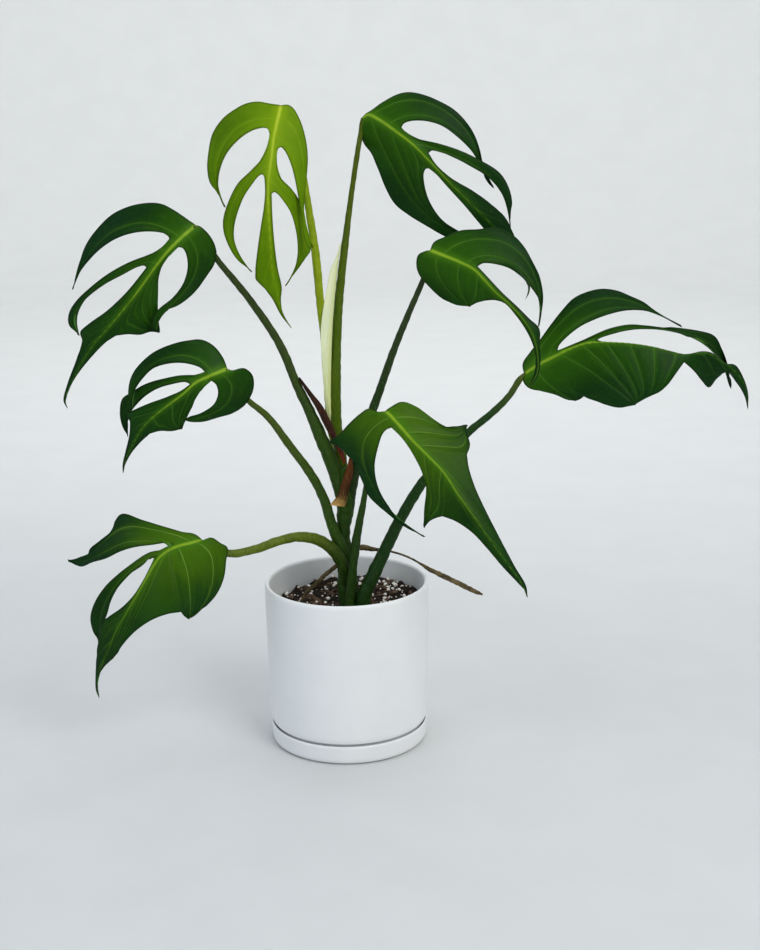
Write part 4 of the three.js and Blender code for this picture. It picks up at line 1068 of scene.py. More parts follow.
@dataclass
class Stem:
    """A round stalk, shoot or root, swept along its drawn line with a little unevenness."""

    name: str
    node: str
    drawn: list[StalkPoint]
    sides: int = 20
    step: float = 1.8
    groove: float = 0.1
    groove_at: float = 0.8
    groove_width: float = 0.45
    rings: float = 0.0
    ring_gap: float = 19.0
    ring_width: float = 1.6
    first_ring: float = 4.5
    lumps: float = 0.015
    lump_length: float = 13.0
    even_rounds: int = 4
    end_share: float = 0.35
    end_taper: float = 0.5
    taper_length: float = 7.0
    seed: int = 1

    def radii(self, placed: Array, along: Array, whole: float) -> Array:
        """Spreads the drawn radii over the line.

        Args:
            placed: the drawn points where they stand.
            along: shares of the line's length.
            whole: that length.

        Returns:
            The radius at each share, evened out and narrowed at the line's end.
        """
        travelled = np.concatenate([[0.0], np.cumsum(np.linalg.norm(np.diff(placed, axis=0), axis=1))])
        radius = np.interp(along * travelled[-1], travelled, [point[3] for point in self.drawn])
        blur = np.array([1.0, 2.0, 3.0, 2.0, 1.0]) / 9
        for _ in range(self.even_rounds):
            radius = np.convolve(np.pad(radius, 2, mode="edge"), blur, mode="valid")
        return radius * (1 - self.end_taper * ease(along * whole, whole - self.taper_length, whole))

    def reach(self, radius: Array, run: Array, turn: Array) -> Array:
        """How far the surface stands from the line, with lumps, a groove and rings.

        Args:
            radius: the radius at each row.
            run: the distance along the line at each row.
            turn: the angle round the line at each column.

        Returns:
            One distance for each row and column.
        """
        # Six waves of different lengths, some of them winding round, add up to an uneven skin.
        waves = np.random.default_rng(self.seed).uniform(0, 2 * np.pi, 6)
        uneven = 1 + self.lumps * sum(
            np.sin(run / self.lump_length * (1 + 0.7 * i) * 2 + wave + (i % 3) * turn[None])
            for i, wave in enumerate(waves)
        )
        from_groove = np.angle(np.exp(1j * (turn - self.groove_at)))
        grooved = 1 - self.groove * np.exp(-(from_groove / self.groove_width) ** 2)[None]
        from_ring = (run + self.ring_gap / 2 - self.first_ring) % self.ring_gap - self.ring_gap / 2
        ring = 1 + self.rings * np.exp(-(from_ring / self.ring_width) ** 2)
        return radius * uneven * grooved * ring

    def shape(self) -> Shape:
        """Sweeps the section along the line and rounds off both ends.

        Returns:
            The stem, with how far along it each point lies.
        """
        placed = VIEW.place(np.array(self.drawn)[:, :3])
        steps = max(12, round(length_of(placed) / self.step))
        line = smooth_line(placed, steps)
        along = np.linspace(0.0, 1.0, steps + 1)
        whole = length_of(line)
        radius = self.radii(placed, along, whole)
        tangents = np.gradient(line, axis=0)
        tangents /= np.linalg.norm(tangents, axis=1, keepdims=True)
        normal = np.cross(tangents[0], [1.0, 0.0, 0.0])
        normals = []
        for tangent in tangents:
            normal = normal - tangent * (normal @ tangent)
            normal = normal / np.linalg.norm(normal)
            normals.append(normal)
        binormals = np.cross(tangents, normals)
        turn = full_turn(self.sides)
        reach = self.reach(radius[:, None], along[:, None] * whole, turn)
        wall = (
            line[:, None]
            + np.array(normals)[:, None] * (reach * np.cos(turn))[..., None]
            + binormals[:, None] * (reach * np.sin(turn))[..., None]
        ).reshape(-1, 3)
        ends = np.array([
            line[0] - tangents[0] * radius[0] * self.end_share,
            line[-1] + tangents[-1] * radius[-1] * self.end_share,
        ])
        faces = np.vstack([tube_triangles(steps + 1, self.sides), cap_triangles(steps + 1, self.sides)])
        share = np.concatenate([np.repeat(along, self.sides), [0.0, 1.0]])
        return Shape(np.vstack([wall, ends]), faces, {"along": share})

    def build(self, slot: str, finish: Material) -> None:
        """Makes the stem and dresses it."""
        self.shape().piece(self.name, self.node, slot, [finish])


# Blades: a lobe is a grid of cells about 13 mm wide, each divided finely.

CELL = 13.0
CELL_ROWS = 9
MOST_INNER_ROWS = CELL_ROWS - 4
FINE = 8
MIDRIB_STEPS = 480
AT_ONCE = 4000


class Hand(Enum):
    """Which side of the midrib a half lies on, as the order in which its triangles turn."""

    FIRST = 0
    SECOND = 1


@dataclass
class Patch:
    """A grid of points in drawn space with what the skin needs: vein phase, band width and distances."""

    points: Array
    phase: Array
    band: Array
    edge: Array
    hand: Hand


@dataclass(frozen=True)
class Strand:
    """A thin torn strand, drawn from the edge that it hangs from to its tip."""

    hand: Hand
    run: list[Point]
    radii: list[float]


@dataclass
class Blade:
    """A leaf blade: a thin curved sheet cut into lobes, with a furrowed midrib and softly quilted lobes."""

    name: str
    drawing: BladeDrawing
    thickness: float = 0.8
    edge_thickness: float = 0.4
    furrow_depth: float = 0.7
    furrow_width: float = 1.7
    ridge_height: float = 1.5
    ridge_width: float = 1.7
    quilt: float = 0.75
    band_width: float = 24.0
    vein_lean: float = 0.55
    rib_taper: float = 0.75
    quilt_from: float = 2.0
    quilt_to: float = 14.0
    thinning: float = 4.0
    end_band: float = 0.8
    smoothing: float = 0.98
    smooth_rounds: int = 90
    relax_rounds: int = 200

    def __post_init__(self) -> None:
        """Traces the midrib and finds the stops along it."""
        flat = smooth_line(self.flat(self.drawing.midrib), MIDRIB_STEPS)
        share = np.linspace(0.0, 1.0, len(flat))
        base, middle, tip = self.drawing.forward
        lift = 2 * middle - (base + tip) / 2
        flat[:, 2] = base * (1 - share) ** 2 + lift * 2 * share * (1 - share) + tip * share**2
        self.midrib = flat
        self.length = length_of(flat)
        marks = sorted({0.0, 1.0, *(foot for half in self.drawing.halves for foot in half.feet)})
        stops = [0.0]
        for low, high in zip(marks, marks[1:]):
            pieces = FINE * max(1, math.floor((high - low) * self.length / CELL + 0.5))
            stops.extend(low + (high - low) * np.arange(1, pieces + 1) / pieces)
        self.stops = np.array(stops)

    @staticmethod
    def flat(drawn: list[Point]) -> Array:
        """Drawn points as rows of three."""
        return np.array([(*point, 0.0)[:3] for point in drawn], dtype=float)

    def at(self, share: float | Array) -> Array:
        """Points of the midrib at shares of its length."""
        steps = np.linspace(0.0, 1.0, len(self.midrib))
        return np.stack([np.interp(share, steps, self.midrib[:, i]) for i in range(3)], axis=-1)

    def stand(self, run: list[Point], fall: tuple[float, float]) -> Array:
        """Sets how far forward a run of outline points stands.

        Args:
            run: the drawn points.
            fall: how the half slopes away from the midrib.

        Returns:
            The points, as rows of across, down and forward.
        """
        points = self.flat(run)
        apart = np.linalg.norm(points[:, None, :2] - self.midrib[None, :, :2], axis=2)
        nearest = apart.argmin(axis=1)
        out = apart.min(axis=1)
        points[:, 2] += self.midrib[nearest, 2] + fall[0] * out + fall[1] * out**2 / 100
        return points

    @staticmethod
    def inner_rows(start: Array, bottom: Array) -> int:
        """How many plain rows of cells lie between the midrib and the bottom of a cut."""
        apart = math.hypot(*(start - bottom)[:2])
        return min(max(math.floor(apart / CELL + 0.5), 1), MOST_INNER_ROWS)

    def side(self, start: Array, bottom: Array | None, run: Array) -> tuple[Array, int]:
        """One side of a lobe, from the midrib by the bottom of its cut to its tip.

        Args:
            start: where it leaves the midrib.
            bottom: the bottom of the cut, or None where the outline starts at the stalk.
            run: the outline points on to the lobe's tip.

        Returns:
            The points, and how many of them come before the bottom of the cut.
        """
        if bottom is None:
            return smooth_line(np.vstack([start, run]), CELL_ROWS * FINE), 0
        inner = self.inner_rows(start, bottom)
        share = (np.arange(inner * FINE) / (inner * FINE))[:, None]
        straight = start * (1 - share) + bottom * share
        outer = smooth_line(np.vstack([bottom, run]), (CELL_ROWS - inner) * FINE)
        return np.vstack([straight, outer]), inner * FINE

    def between(self, low: float, high: float) -> Array:
        """The stops from one share to another."""
        return self.stops[(self.stops >= low - 1e-6) & (self.stops <= high + 1e-6)]

    def bands_for(self, width: float) -> int:
        """How many vein bands a stretch of that width holds."""
        return max(1, round(width / self.band_width))

    def lobe(self, low: float, high: float, side_a: tuple[Array, int], side_b: tuple[Array, int],
             hand: Hand) -> Patch:
        """Fills a lobe between its two sides, bent at its root to follow the midrib.

        Args:
            low: where it starts on the midrib.
            high: where it ends there.
            side_a: its side towards the stalk.
            side_b: its side towards the blade's tip.
            hand: which half it belongs to.

        Returns:
            The lobe.
        """
        (a, inner_a), (b, inner_b) = side_a, side_b
        root = self.at(self.between(low, high))
        rows, columns = len(a), len(root)
        t = np.linspace(0.0, 1.0, columns)[None, :, None]
        fade = ((1 - np.linspace(0.0, 1.0, rows)) ** 2)[:, None, None]
        root_line = a[0] * (1 - t[0]) + b[0] * t[0]
        points = a[:, None] * (1 - t) + b[:, None] * t + (root - root_line)[None] * fade
        # A cut's corner on one side would put a kink in every vein, so they are smoothed most in the middle.
        ease_in = np.sin(np.pi * t) ** 2
        for _ in range(self.smooth_rounds):
            bent = points[2:] + points[:-2] - 2 * points[1:-1]
            points[1:-1] += 0.5 * ease_in * bent * self.smoothing
        bands = self.bands_for(length_of(root))
        width = np.linalg.norm(np.diff(points, axis=1), axis=2).sum(axis=1)
        row = np.arange(rows)
        to_a = np.linalg.norm(points - a[np.maximum(row, inner_a)][:, None], axis=2)
        to_b = np.linalg.norm(points - b[np.maximum(row, inner_b)][:, None], axis=2)
        shape = (rows, columns)
        lean = self.vein_lean * np.linspace(0.0, 1.0, rows)[:, None] * (bands > 2)
        phase = bands * np.maximum(0.0, (t[..., 0] - lean) / (1 - lean))
        return Patch(
            points,
            np.broadcast_to(phase, shape),
            np.broadcast_to((width / bands)[:, None], shape),
            np.minimum(to_a, to_b),
            hand,
        )

    def end_patch(self, low: float, cut: Array, run: Array, hand: Hand) -> Patch:
        """Fills the blade's end between the midrib and its margin.

        Args:
            low: where it starts on the midrib.
            cut: the bottom of the last cut.
            run: the outline points on to the blade's tip.
            hand: which half it belongs to.

        Returns:
            The end.
        """
        rib = self.at(self.between(low, 1.0))
        margin = smooth_line(np.vstack([cut, run, self.midrib[-1]]), len(rib) - 1)
        rows, columns = self.inner_rows(rib[0], cut) * FINE + 1, len(rib)
        v = np.linspace(0.0, 1.0, rows)[:, None]
        points = rib[None] * (1 - v[..., None]) + margin[None] * v[..., None]
        length = length_of(rib)
        bands = self.bands_for(length)
        lean = self.vein_lean * v
        share = np.linspace(0.0, 1.0, columns)[None, :]
        phase = bands * np.maximum(0.0, (share - lean) / (1 - lean))
        edge = np.linalg.norm(points - margin[None], axis=2)
        return Patch(points, phase, np.full((rows, columns), self.end_band * length / bands), edge, hand)

    def patches(self) -> list[Patch]:
        """Makes the lobes and the ends of both halves.

        Returns:
            All of them.
        """
        found: list[Patch] = []
        for hand, half in zip(Hand, self.drawing.halves):
            runs = [self.stand(run, half.fall) for run in half.runs]
            low, cut = 0.0, None
            for lobe, high in enumerate(half.feet):
                out, back = runs[2 * lobe], runs[2 * lobe + 1]
                side_a = self.side(self.at(low), cut, out)
                side_b = self.side(self.at(high), back[-1], np.vstack([back[-2::-1], out[-1:]]))
                found.append(self.lobe(low, high, side_a, side_b, hand))
                low, cut = high, back[-1]
            found.append(self.end_patch(low, cut, runs[-1], hand))
        return found

    def sheet(self) -> tuple[Array, Array, dict[str, Array], Array]:
        """Joins the patches into one sheet.

        Returns:
            Its points in drawn space, its triangles, its values at each point, and its vein map at each
            triangle's corners.
        """
        patches = self.patches()
        starts = np.cumsum([0, *(patch.phase.size for patch in patches)])
        triangles = []
        for patch, start in zip(patches, starts):
            own = grid_triangles(*patch.phase.shape) + start
            triangles.append(own[:, ::-1] if patch.hand is Hand.SECOND else own)
        corners = np.vstack(triangles)
        points = np.vstack([patch.points.reshape(-1, 3) for patch in patches])
        phase, band, edge = (
            np.concatenate([values.ravel() for values in of_patches])
            for of_patches in zip(*((patch.phase, patch.band, patch.edge) for patch in patches))
        )
        placed = np.round(points * MICRONS).astype(np.int64)
        _, first, joined = np.unique(placed, axis=0, return_index=True, return_inverse=True)
        merged = joined.ravel()[corners]
        sound = are_sound(merged)
        vein_map = np.stack([phase, band], axis=1)[corners[sound]]
        return points[first], merged[sound], {"phase": phase[first], "edge_mm": edge[first]}, vein_map

    def relax(self, points: Array, triangles: Array, rim: Array) -> Array:
        """Evens out how far forward points stand between midrib and rim, so that patches join without a fold.

        Args:
            points: rows of across, down and forward.
            triangles: rows of three point numbers.
            rim: the edges of the outline.

        Returns:
            The points, with those between midrib and rim evened out.
        """
        edges = edges_of(triangles)
        both = np.vstack([edges, edges[:, ::-1]])
        count = np.bincount(both[:, 0], minlength=len(points))
        free = np.ones(len(points), dtype=bool)
        free[rim.ravel()] = False
        ribs = np.round(self.at(self.stops) * MICRONS).astype(np.int64)
        known = {tuple(row) for row in ribs.tolist()}
        drawn = np.round(points * MICRONS).astype(np.int64).tolist()
        free[[index for index, row in enumerate(drawn) if tuple(row) in known]] = False
        depth = points[:, 2].copy()
        for _ in range(self.relax_rounds):
            mean = np.bincount(both[:, 0], weights=depth[both[:, 1]], minlength=len(points)) / count
            depth[free] = mean[free]
        relaxed = points.copy()
        relaxed[:, 2] = depth
        return relaxed

    def from_midrib(self, points: Array) -> tuple[Array, Array]:
        """Measures how points lie to the midrib.

        Args:
            points: rows of x, y and z.

        Returns:
            How far each point lies from the midrib, and at which share of it.
        """
        ribs = VIEW.place(self.midrib[::4])
        away = np.empty(len(points))
        share = np.empty(len(points))
        for start in range(0, len(points), AT_ONCE):
            some = slice(start, start + AT_ONCE)
            apart = np.linalg.norm(points[some, None] - ribs[None], axis=2)
            away[some] = apart.min(axis=1)
            share[some] = apart.argmin(axis=1) / (len(ribs) - 1)
        return away, share

    def heights(self, away: Array, along: Array, phase: Array, edge: Array) -> tuple[Array, Array]:
        """Works out how far both faces stand from the sheet midway between them.

        Args:
            away: each point's distance from the midrib.
            along: its share of the midrib.
            phase: its place among the side veins.
            edge: its distance from the edge.

        Returns:
            Heights of the upper face and of the lower one.
        """
        taper = 1 - self.rib_taper * along
        quilt = self.quilt * np.abs(np.cos(np.pi * phase)) * ease(away, self.quilt_from, self.quilt_to)
        fullness = ease(edge, 0, self.thinning)
        half = 0.5 * (self.edge_thickness + (self.thickness - self.edge_thickness) * fullness)
        furrow = self.furrow_depth * taper * np.exp(-(away / (self.furrow_width * (0.6 + taper / 2))) ** 2)
        ridge = self.ridge_height * taper * np.exp(-(away / (self.ridge_width * (0.5 + taper / 2))) ** 2)
        return quilt + half - furrow, quilt - half - ridge

    def shape(self) -> Shape:
        """Builds the blade: an upper face, a lower face and a thin rounded rim.

        Returns:
            The blade, whose lower face has a finish of its own.
        """
        drawn, triangles, values, vein_map = self.sheet()
        rim = open_edges(triangles)
        middle = VIEW.place(self.relax(drawn, triangles, rim))
        normals = normals_of(middle, triangles)
        if VIEW.sees_back(middle, normals):
            triangles, vein_map, normals, rim = triangles[:, ::-1], vein_map[:, ::-1], -normals, rim[:, ::-1]
        away, along = self.from_midrib(middle)
        above, below = self.heights(away, along, values["phase"], values["edge_mm"])
        upper = middle + normals * above[:, None]
        lower = middle + normals * below[:, None]
        ring_ids = np.unique(rim)
        outward = np.zeros_like(middle)
        run = middle[rim[:, 1]] - middle[rim[:, 0]]
        out = np.cross(run, normals[rim[:, 0]])
        for end in (0, 1):
            np.add.at(outward, rim[:, end], out)
        outward /= np.maximum(np.linalg.norm(outward, axis=1, keepdims=True), 1e-9)
        ring = ((upper + lower) / 2 + outward * self.edge_thickness * 0.45)[ring_ids]
        count = len(middle)
        ring_of = np.full(count, -1)
        ring_of[ring_ids] = 2 * count + np.arange(len(ring_ids))
        a, b = rim[:, 0], rim[:, 1]
        band = np.vstack([
            np.column_stack([b, a, ring_of[a]]), np.column_stack([b, ring_of[a], ring_of[b]]),
            np.column_stack([ring_of[b], ring_of[a], a + count]),
            np.column_stack([ring_of[b], a + count, b + count]),
        ])
        faces = np.vstack([triangles, triangles[:, ::-1] + count, band])
        # The band lies midway between two veins, so that none is drawn on it.
        band_map = np.tile([0.0, 9.0], (len(band), 3, 1))
        values_at = dict(zip(BLADE_VALUES, (away, along, values["edge_mm"])))
        return Shape(
            np.vstack([upper, lower, ring]),
            faces,
            {key: np.concatenate([value, value, value[ring_ids]]) for key, value in values_at.items()},
            np.vstack([vein_map, vein_map[:, ::-1], band_map]),
            np.repeat([0, 1, 0], [len(triangles), len(triangles), len(band)]),
        )

    def strand(self, tail: Strand) -> Stem:
        """A torn strand that hangs from an edge of the blade.

        Args:
            tail: where it hangs and how thick it is.

        Returns:
            The strand as a thin stem.
        """
        points = self.stand(tail.run, self.drawing.halves[tail.hand.value].fall)
        drawn = [(*map(float, point), radius) for point, radius in zip(points, tail.radii)]
        return Stem(f"blade_{self.name[-1]}_strand", self.name, drawn, sides=8, step=0.8, groove=0.0,
                    lumps=0.0)

    def build(self, slot: str, upper: Material, lower: Material) -> None:
        """Makes the blade and dresses its two faces."""
        self.shape().piece(f"blade_{self.name[-1]}", self.name, slot, [upper, lower])


@dataclass
class Sheath:
    """A leaf sheath: a thin strip between two drawn edges, cupped across and wrinkled along."""

    name: str
    node: str
    drawing: SheathDrawing
    cup: float = 1.6
    wrinkle: float = 0.25
    wrinkles: float = 3.5
    most_cup: float = 0.3
    wrinkle_turn: float = 9.0
    thickness: float = 0.45
    strips: int = 14
    step: float = 1.2

    def shape(self) -> Shape:
        """Builds the strip as two faces and its edges.

        Returns:
            The strip, with how far along and how far across it each point lies.
        """
        left, right = (np.array(edge, dtype=float) for edge in (self.drawing.left, self.drawing.right))
        steps = round(length_of(left) / self.step)
        sides = [smooth_line(edge, steps) for edge in (left, right)]
        share = np.linspace(0.0, 1.0, self.strips + 1)[:, None, None]
        grid = sides[0][None] * (1 - share) + sides[1][None] * share
        width = np.linalg.norm(sides[1] - sides[0], axis=1)
        bulge = np.minimum(self.cup, self.most_cup * width)[None] * np.sin(np.pi * share[..., 0])
        turned = np.arange(steps + 1) / self.wrinkle_turn
        folds = self.wrinkle * np.sin(2 * np.pi * self.wrinkles * share[..., 0] + turned)
        grid[..., 2] += bulge + folds
        points = VIEW.place(grid.reshape(-1, 3))
        triangles = grid_triangles(self.strips + 1, steps + 1)
        normals = normals_of(points, triangles)
        if VIEW.sees_back(points, normals):
            triangles, normals = triangles[:, ::-1], -normals
        rim = open_edges(triangles)
        count = len(points)
        a, b = rim[:, 0], rim[:, 1]
        faces = np.vstack([
            triangles, triangles[:, ::-1] + count,
            np.column_stack([b, a, a + count]), np.column_stack([b, a + count, b + count]),
        ])
        half = self.thickness / 2
        along = np.tile(np.linspace(0.0, 1.0, steps + 1), self.strips + 1)
        across = np.repeat(np.linspace(0.0, 1.0, self.strips + 1), steps + 1)
        return Shape(np.vstack([points + normals * half, points - normals * half]), faces,
                     {"along": np.tile(along, 2), "across": np.tile(across, 2)})

    def build(self, slot: str, finish: Material) -> None:
        """Makes the sheath and dresses it."""
        self.shape().piece(self.name, self.node, slot, [finish])


# Pot, saucer and what the pot holds

RIM_HEIGHT = 165.7
RIM_RADIUS = 82.0
POT_WALL = 4.6
POT_FOOT_HEIGHT = 5.3
DRAIN_RADIUS = 9.0
SAUCER_HEIGHT = 19.5
SAUCER_RADIUS = 79.3
SAUCER_FLOOR = 5.0
SOIL_HEIGHT = 139.0
SOIL_FLOOR = 11.7
INNER_RADIUS = RIM_RADIUS - POT_WALL


@dataclass
class TurnedWare:
    """A turned pot or saucer, from its outline of radius and height, with every corner softly rounded."""

    name: str
    node: str
    outline: list[tuple[float, float]]
    closed: bool
    rounding: float = 1.6
    most_of_run: float = 0.45
    arc_steps: int = 5
    sectors: int = 144
    longest: float = 9.0

    def rounded(self) -> Array:
        """Rounds the outline's corners and divides its long runs.

        Returns:
            Rows of radius and height.
        """
        corners = np.array(self.outline)
        count = len(corners)
        line: list[Array] = []
        for i in range(count):
            here = corners[i]
            if not self.closed and i in (0, count - 1):
                line.append(here)
                continue
            arms = [corners[i - 1] - here, corners[(i + 1) % count] - here]
            ends = [here + arm * min(self.most_of_run, self.rounding / np.linalg.norm(arm)) for arm in arms]
            for t in np.linspace(0.0, 1.0, self.arc_steps):
                line.append(ends[0] * (1 - t) ** 2 + here * 2 * t * (1 - t) + ends[1] * t**2)
        if self.closed:
            line.append(line[0])
        divided = [line[0]]
        for start, end in zip(line, line[1:]):
            pieces = max(1, math.ceil(np.linalg.norm(end - start) / self.longest))
            divided.extend(start + (end - start) * step / pieces for step in range(1, pieces + 1))
        return np.array(divided[:-1] if self.closed else divided)

    def shape(self) -> Shape:
        """Turns the outline about the upright axis.

        Returns:
            The ware.
        """
        line = self.rounded()
        turn = full_turn(self.sectors)
        points = np.stack([
            line[:, 0, None] * np.cos(turn), line[:, 0, None] * np.sin(turn),
            np.broadcast_to(line[:, 1, None], (len(line), self.sectors)),
        ], axis=-1).reshape(-1, 3)
        flat = np.linalg.norm(points[:, :2], axis=1) < 1e-6
        to_axis = np.arange(len(points))
        for end in (0, len(line) - 1):
            ring = np.arange(end * self.sectors, (end + 1) * self.sectors)
            if flat[ring].all():
                to_axis[ring] = ring[0]
        faces = to_axis[tube_triangles(len(line), self.sectors, self.closed)]
        used, numbered = np.unique(faces[are_sound(faces)], return_inverse=True)
        return Shape(points[used], numbered.reshape(-1, 3))

    def build(self, finish: Material) -> None:
        """Makes the ware and dresses it."""
        self.shape().piece(self.name, self.node, "white_glaze", [finish])


def pot() -> TurnedWare:
    """Draws the pot, whose foot is drawn in so that it stands inside the saucer's lip.

    Returns:
        The pot, from its drain hole round the outside to the rim and back down the inside.
    """
    return TurnedWare("planter", "pot", [
        (DRAIN_RADIUS, POT_FOOT_HEIGHT), (66.0, POT_FOOT_HEIGHT), (72.0, POT_FOOT_HEIGHT + 2.7), (73.4, 14.0),
        (73.8, SAUCER_HEIGHT + 0.8), (77.9, SAUCER_HEIGHT + 2.0), (79.2, SAUCER_HEIGHT + 7),
        (RIM_RADIUS - 0.6, 120.0), (RIM_RADIUS, RIM_HEIGHT - 4), (RIM_RADIUS - 0.6, RIM_HEIGHT - 1.2),
        (RIM_RADIUS - 2, RIM_HEIGHT), (INNER_RADIUS + 1.4, RIM_HEIGHT - 0.2), (INNER_RADIUS, RIM_HEIGHT - 2),
        (INNER_RADIUS - 0.6, 120.0), (74.3, 34.0), (72.0, 20.0), (66.0, 12.4), (58.0, SOIL_FLOOR - 0.4),
        (DRAIN_RADIUS, SOIL_FLOOR - 0.4),
    ], closed=True)


def saucer() -> TurnedWare:
    """Draws the saucer, with its low upright lip.

    Returns:
        The saucer, from the middle of its underside round the lip to the middle of its floor.
    """
    return TurnedWare("dish", "saucer", [
        (0.0, 0.0), (73.0, 0.0), (77.0, 1.2), (78.4, 4.0), (SAUCER_RADIUS, SAUCER_HEIGHT - 2),
        (SAUCER_RADIUS - 0.5, SAUCER_HEIGHT - 0.3), (SAUCER_RADIUS - 1.3, SAUCER_HEIGHT),
        (SAUCER_RADIUS - 2, SAUCER_HEIGHT - 0.6), (77.0, SAUCER_HEIGHT - 3), (76.6, 10.0), (74.4, 6.6),
        (70.0, SAUCER_FLOOR), (0.0, SAUCER_FLOOR),
    ], closed=False)


class Grain(Enum):
    """The kinds of loose grain in the potting mix, each with its stretch along three axes."""

    PERLITE = (1.0, 0.9, 0.8)
    BARK = (1.0, 0.62, 0.34)


@dataclass
class PottingMix:
    """The soil that fills the pot: an uneven crumbly top strewn with perlite and bark bits."""

    rings: int = 96
    sectors: int = 260
    lumps: int = 1500
    perlite: int = 300
    bark: int = 280
    seed: int = 11
    crumb: tuple[float, float] = (0.9, 3.4)
    crumb_rise: tuple[float, float] = (-0.7, 0.85)
    crumb_share: float = 0.7
    gap: float = 0.7
    slope: tuple[float, float] = (0.05, 0.045)
    swell: float = 1.5
    ripple: float = 1.1
    perlite_size: tuple[float, float] = (0.8, 3.0)
    bark_size: tuple[float, float] = (1.6, 5.0)
    unevenness: tuple[float, float] = (0.78, 1.15)
    proud: tuple[float, float] = (0.1, 0.6)
    bark_lean: float = 0.25
    chunks: tuple[tuple[float, float, float], ...] = (
        (24.0, -12.0, 9.0), (42.0, 54.0, 7.5), (-30.0, 10.0, 6.5), (47.0, 20.0, 6.0), (-40.0, 28.0, 6.0),
        (-22.0, 38.0, 5.5), (30.0, 40.0, 5.0),
    )
    side: tuple[tuple[float, float], ...] = (
        (57.6, SOIL_FLOOR), (65.7, 12.9), (71.5, 20.3), (73.8, 34.2), (76.3, 120.0),
    )

    def __post_init__(self) -> None:
        """Places the crumbs that roughen the top."""
        rng = np.random.default_rng(self.seed)
        reach = INNER_RADIUS * np.sqrt(rng.uniform(0, 1, self.lumps))
        turn = rng.uniform(0, 2 * np.pi, self.lumps)
        self.lump_at = np.column_stack([reach * np.cos(turn), reach * np.sin(turn)])
        self.lump_size = rng.uniform(*self.crumb, self.lumps)
        self.lump_height = rng.uniform(*self.crumb_rise, self.lumps) * self.lump_size * self.crumb_share
        self.rng = rng

    def top(self, x: Array, y: Array) -> Array:
        """Works out the soil's height, which rises to the back right.

        Args:
            x: places to the right.
            y: places to the back.

        Returns:
            The height at each place.
        """
        # The swells are nearly 30 mm long and the ripples 10 to 12 mm.
        height = SOIL_HEIGHT + self.slope[0] * x + self.slope[1] * y
        height = height + self.swell * np.sin(x * 0.21 + 1.3) * np.sin(y * 0.23 + 0.4)
        height = height + self.ripple * np.sin(x * 0.53 + y * 0.31) * np.cos(y * 0.47 - x * 0.22)
        at = np.column_stack([np.ravel(x), np.ravel(y)])
        crumbs = np.zeros(len(at))
        for centre, size, rise in zip(self.lump_at, self.lump_size, self.lump_height):
            apart = ((at - centre) ** 2).sum(axis=1)
            near = apart < (3 * size) ** 2
            crumbs[near] += rise * np.exp(-apart[near] / size**2)
        return height + crumbs.reshape(np.shape(x))

    def soil(self) -> Shape:
        """Builds the closed body of soil.

        Returns:
            The soil.
        """
        turn = full_turn(self.sectors)
        radii = (INNER_RADIUS - self.gap) * np.linspace(1.0, 0.004, self.rings)
        x, y = radii[:, None] * np.cos(turn), radii[:, None] * np.sin(turn)
        top = np.stack([x, y, self.top(x, y)], axis=-1)
        wall = np.array([[
            (radius * math.cos(angle), radius * math.sin(angle), height) for angle in turn
        ] for radius, height in self.side])
        rows = np.concatenate([wall, top])
        faces = np.vstack([tube_triangles(*rows.shape[:2]), cap_triangles(*rows.shape[:2])])
        ends = np.array([[0.0, 0.0, SOIL_FLOOR], [0.0, 0.0, float(top[-1, :, 2].mean())]])
        return Shape(np.vstack([rows.reshape(-1, 3), ends]), faces)

    @staticmethod
    def ball() -> tuple[Array, Array]:
        """Makes a small ball from a solid of 20 faces, each divided in four.

        Returns:
            Its points and its triangles.
        """
        golden = (1 + math.sqrt(5)) / 2
        upright = [(x, y, 0.0) for y in (golden, -golden) for x in (-1.0, 1.0)]
        points = np.vstack([np.roll(upright, turn, axis=1) for turn in range(3)])
        faces = np.array([
            (0, 11, 5), (0, 5, 1), (0, 1, 7), (0, 7, 10), (0, 10, 11), (1, 5, 9), (5, 11, 4), (11, 10, 2),
            (10, 7, 6), (7, 1, 8), (3, 9, 4), (3, 4, 2), (3, 2, 6), (3, 6, 8), (3, 8, 9), (4, 9, 5),
            (2, 4, 11), (6, 2, 10), (8, 6, 7), (9, 8, 1),
        ])
        edges = np.sort(edges_of(faces), axis=1)
        unique, numbered = np.unique(edges, axis=0, return_inverse=True)
        numbered = numbered.ravel() + len(points)
        ab, bc, ca = numbered.reshape(3, -1)
        a, b, c = faces.T
        split = np.vstack([
            np.column_stack([a, ab, ca]), np.column_stack([b, bc, ab]), np.column_stack([c, ca, bc]),
            np.column_stack([ab, bc, ca]),
        ])
        points = np.vstack([points, points[unique].mean(axis=1)])
        return points / np.linalg.norm(points, axis=1, keepdims=True), split

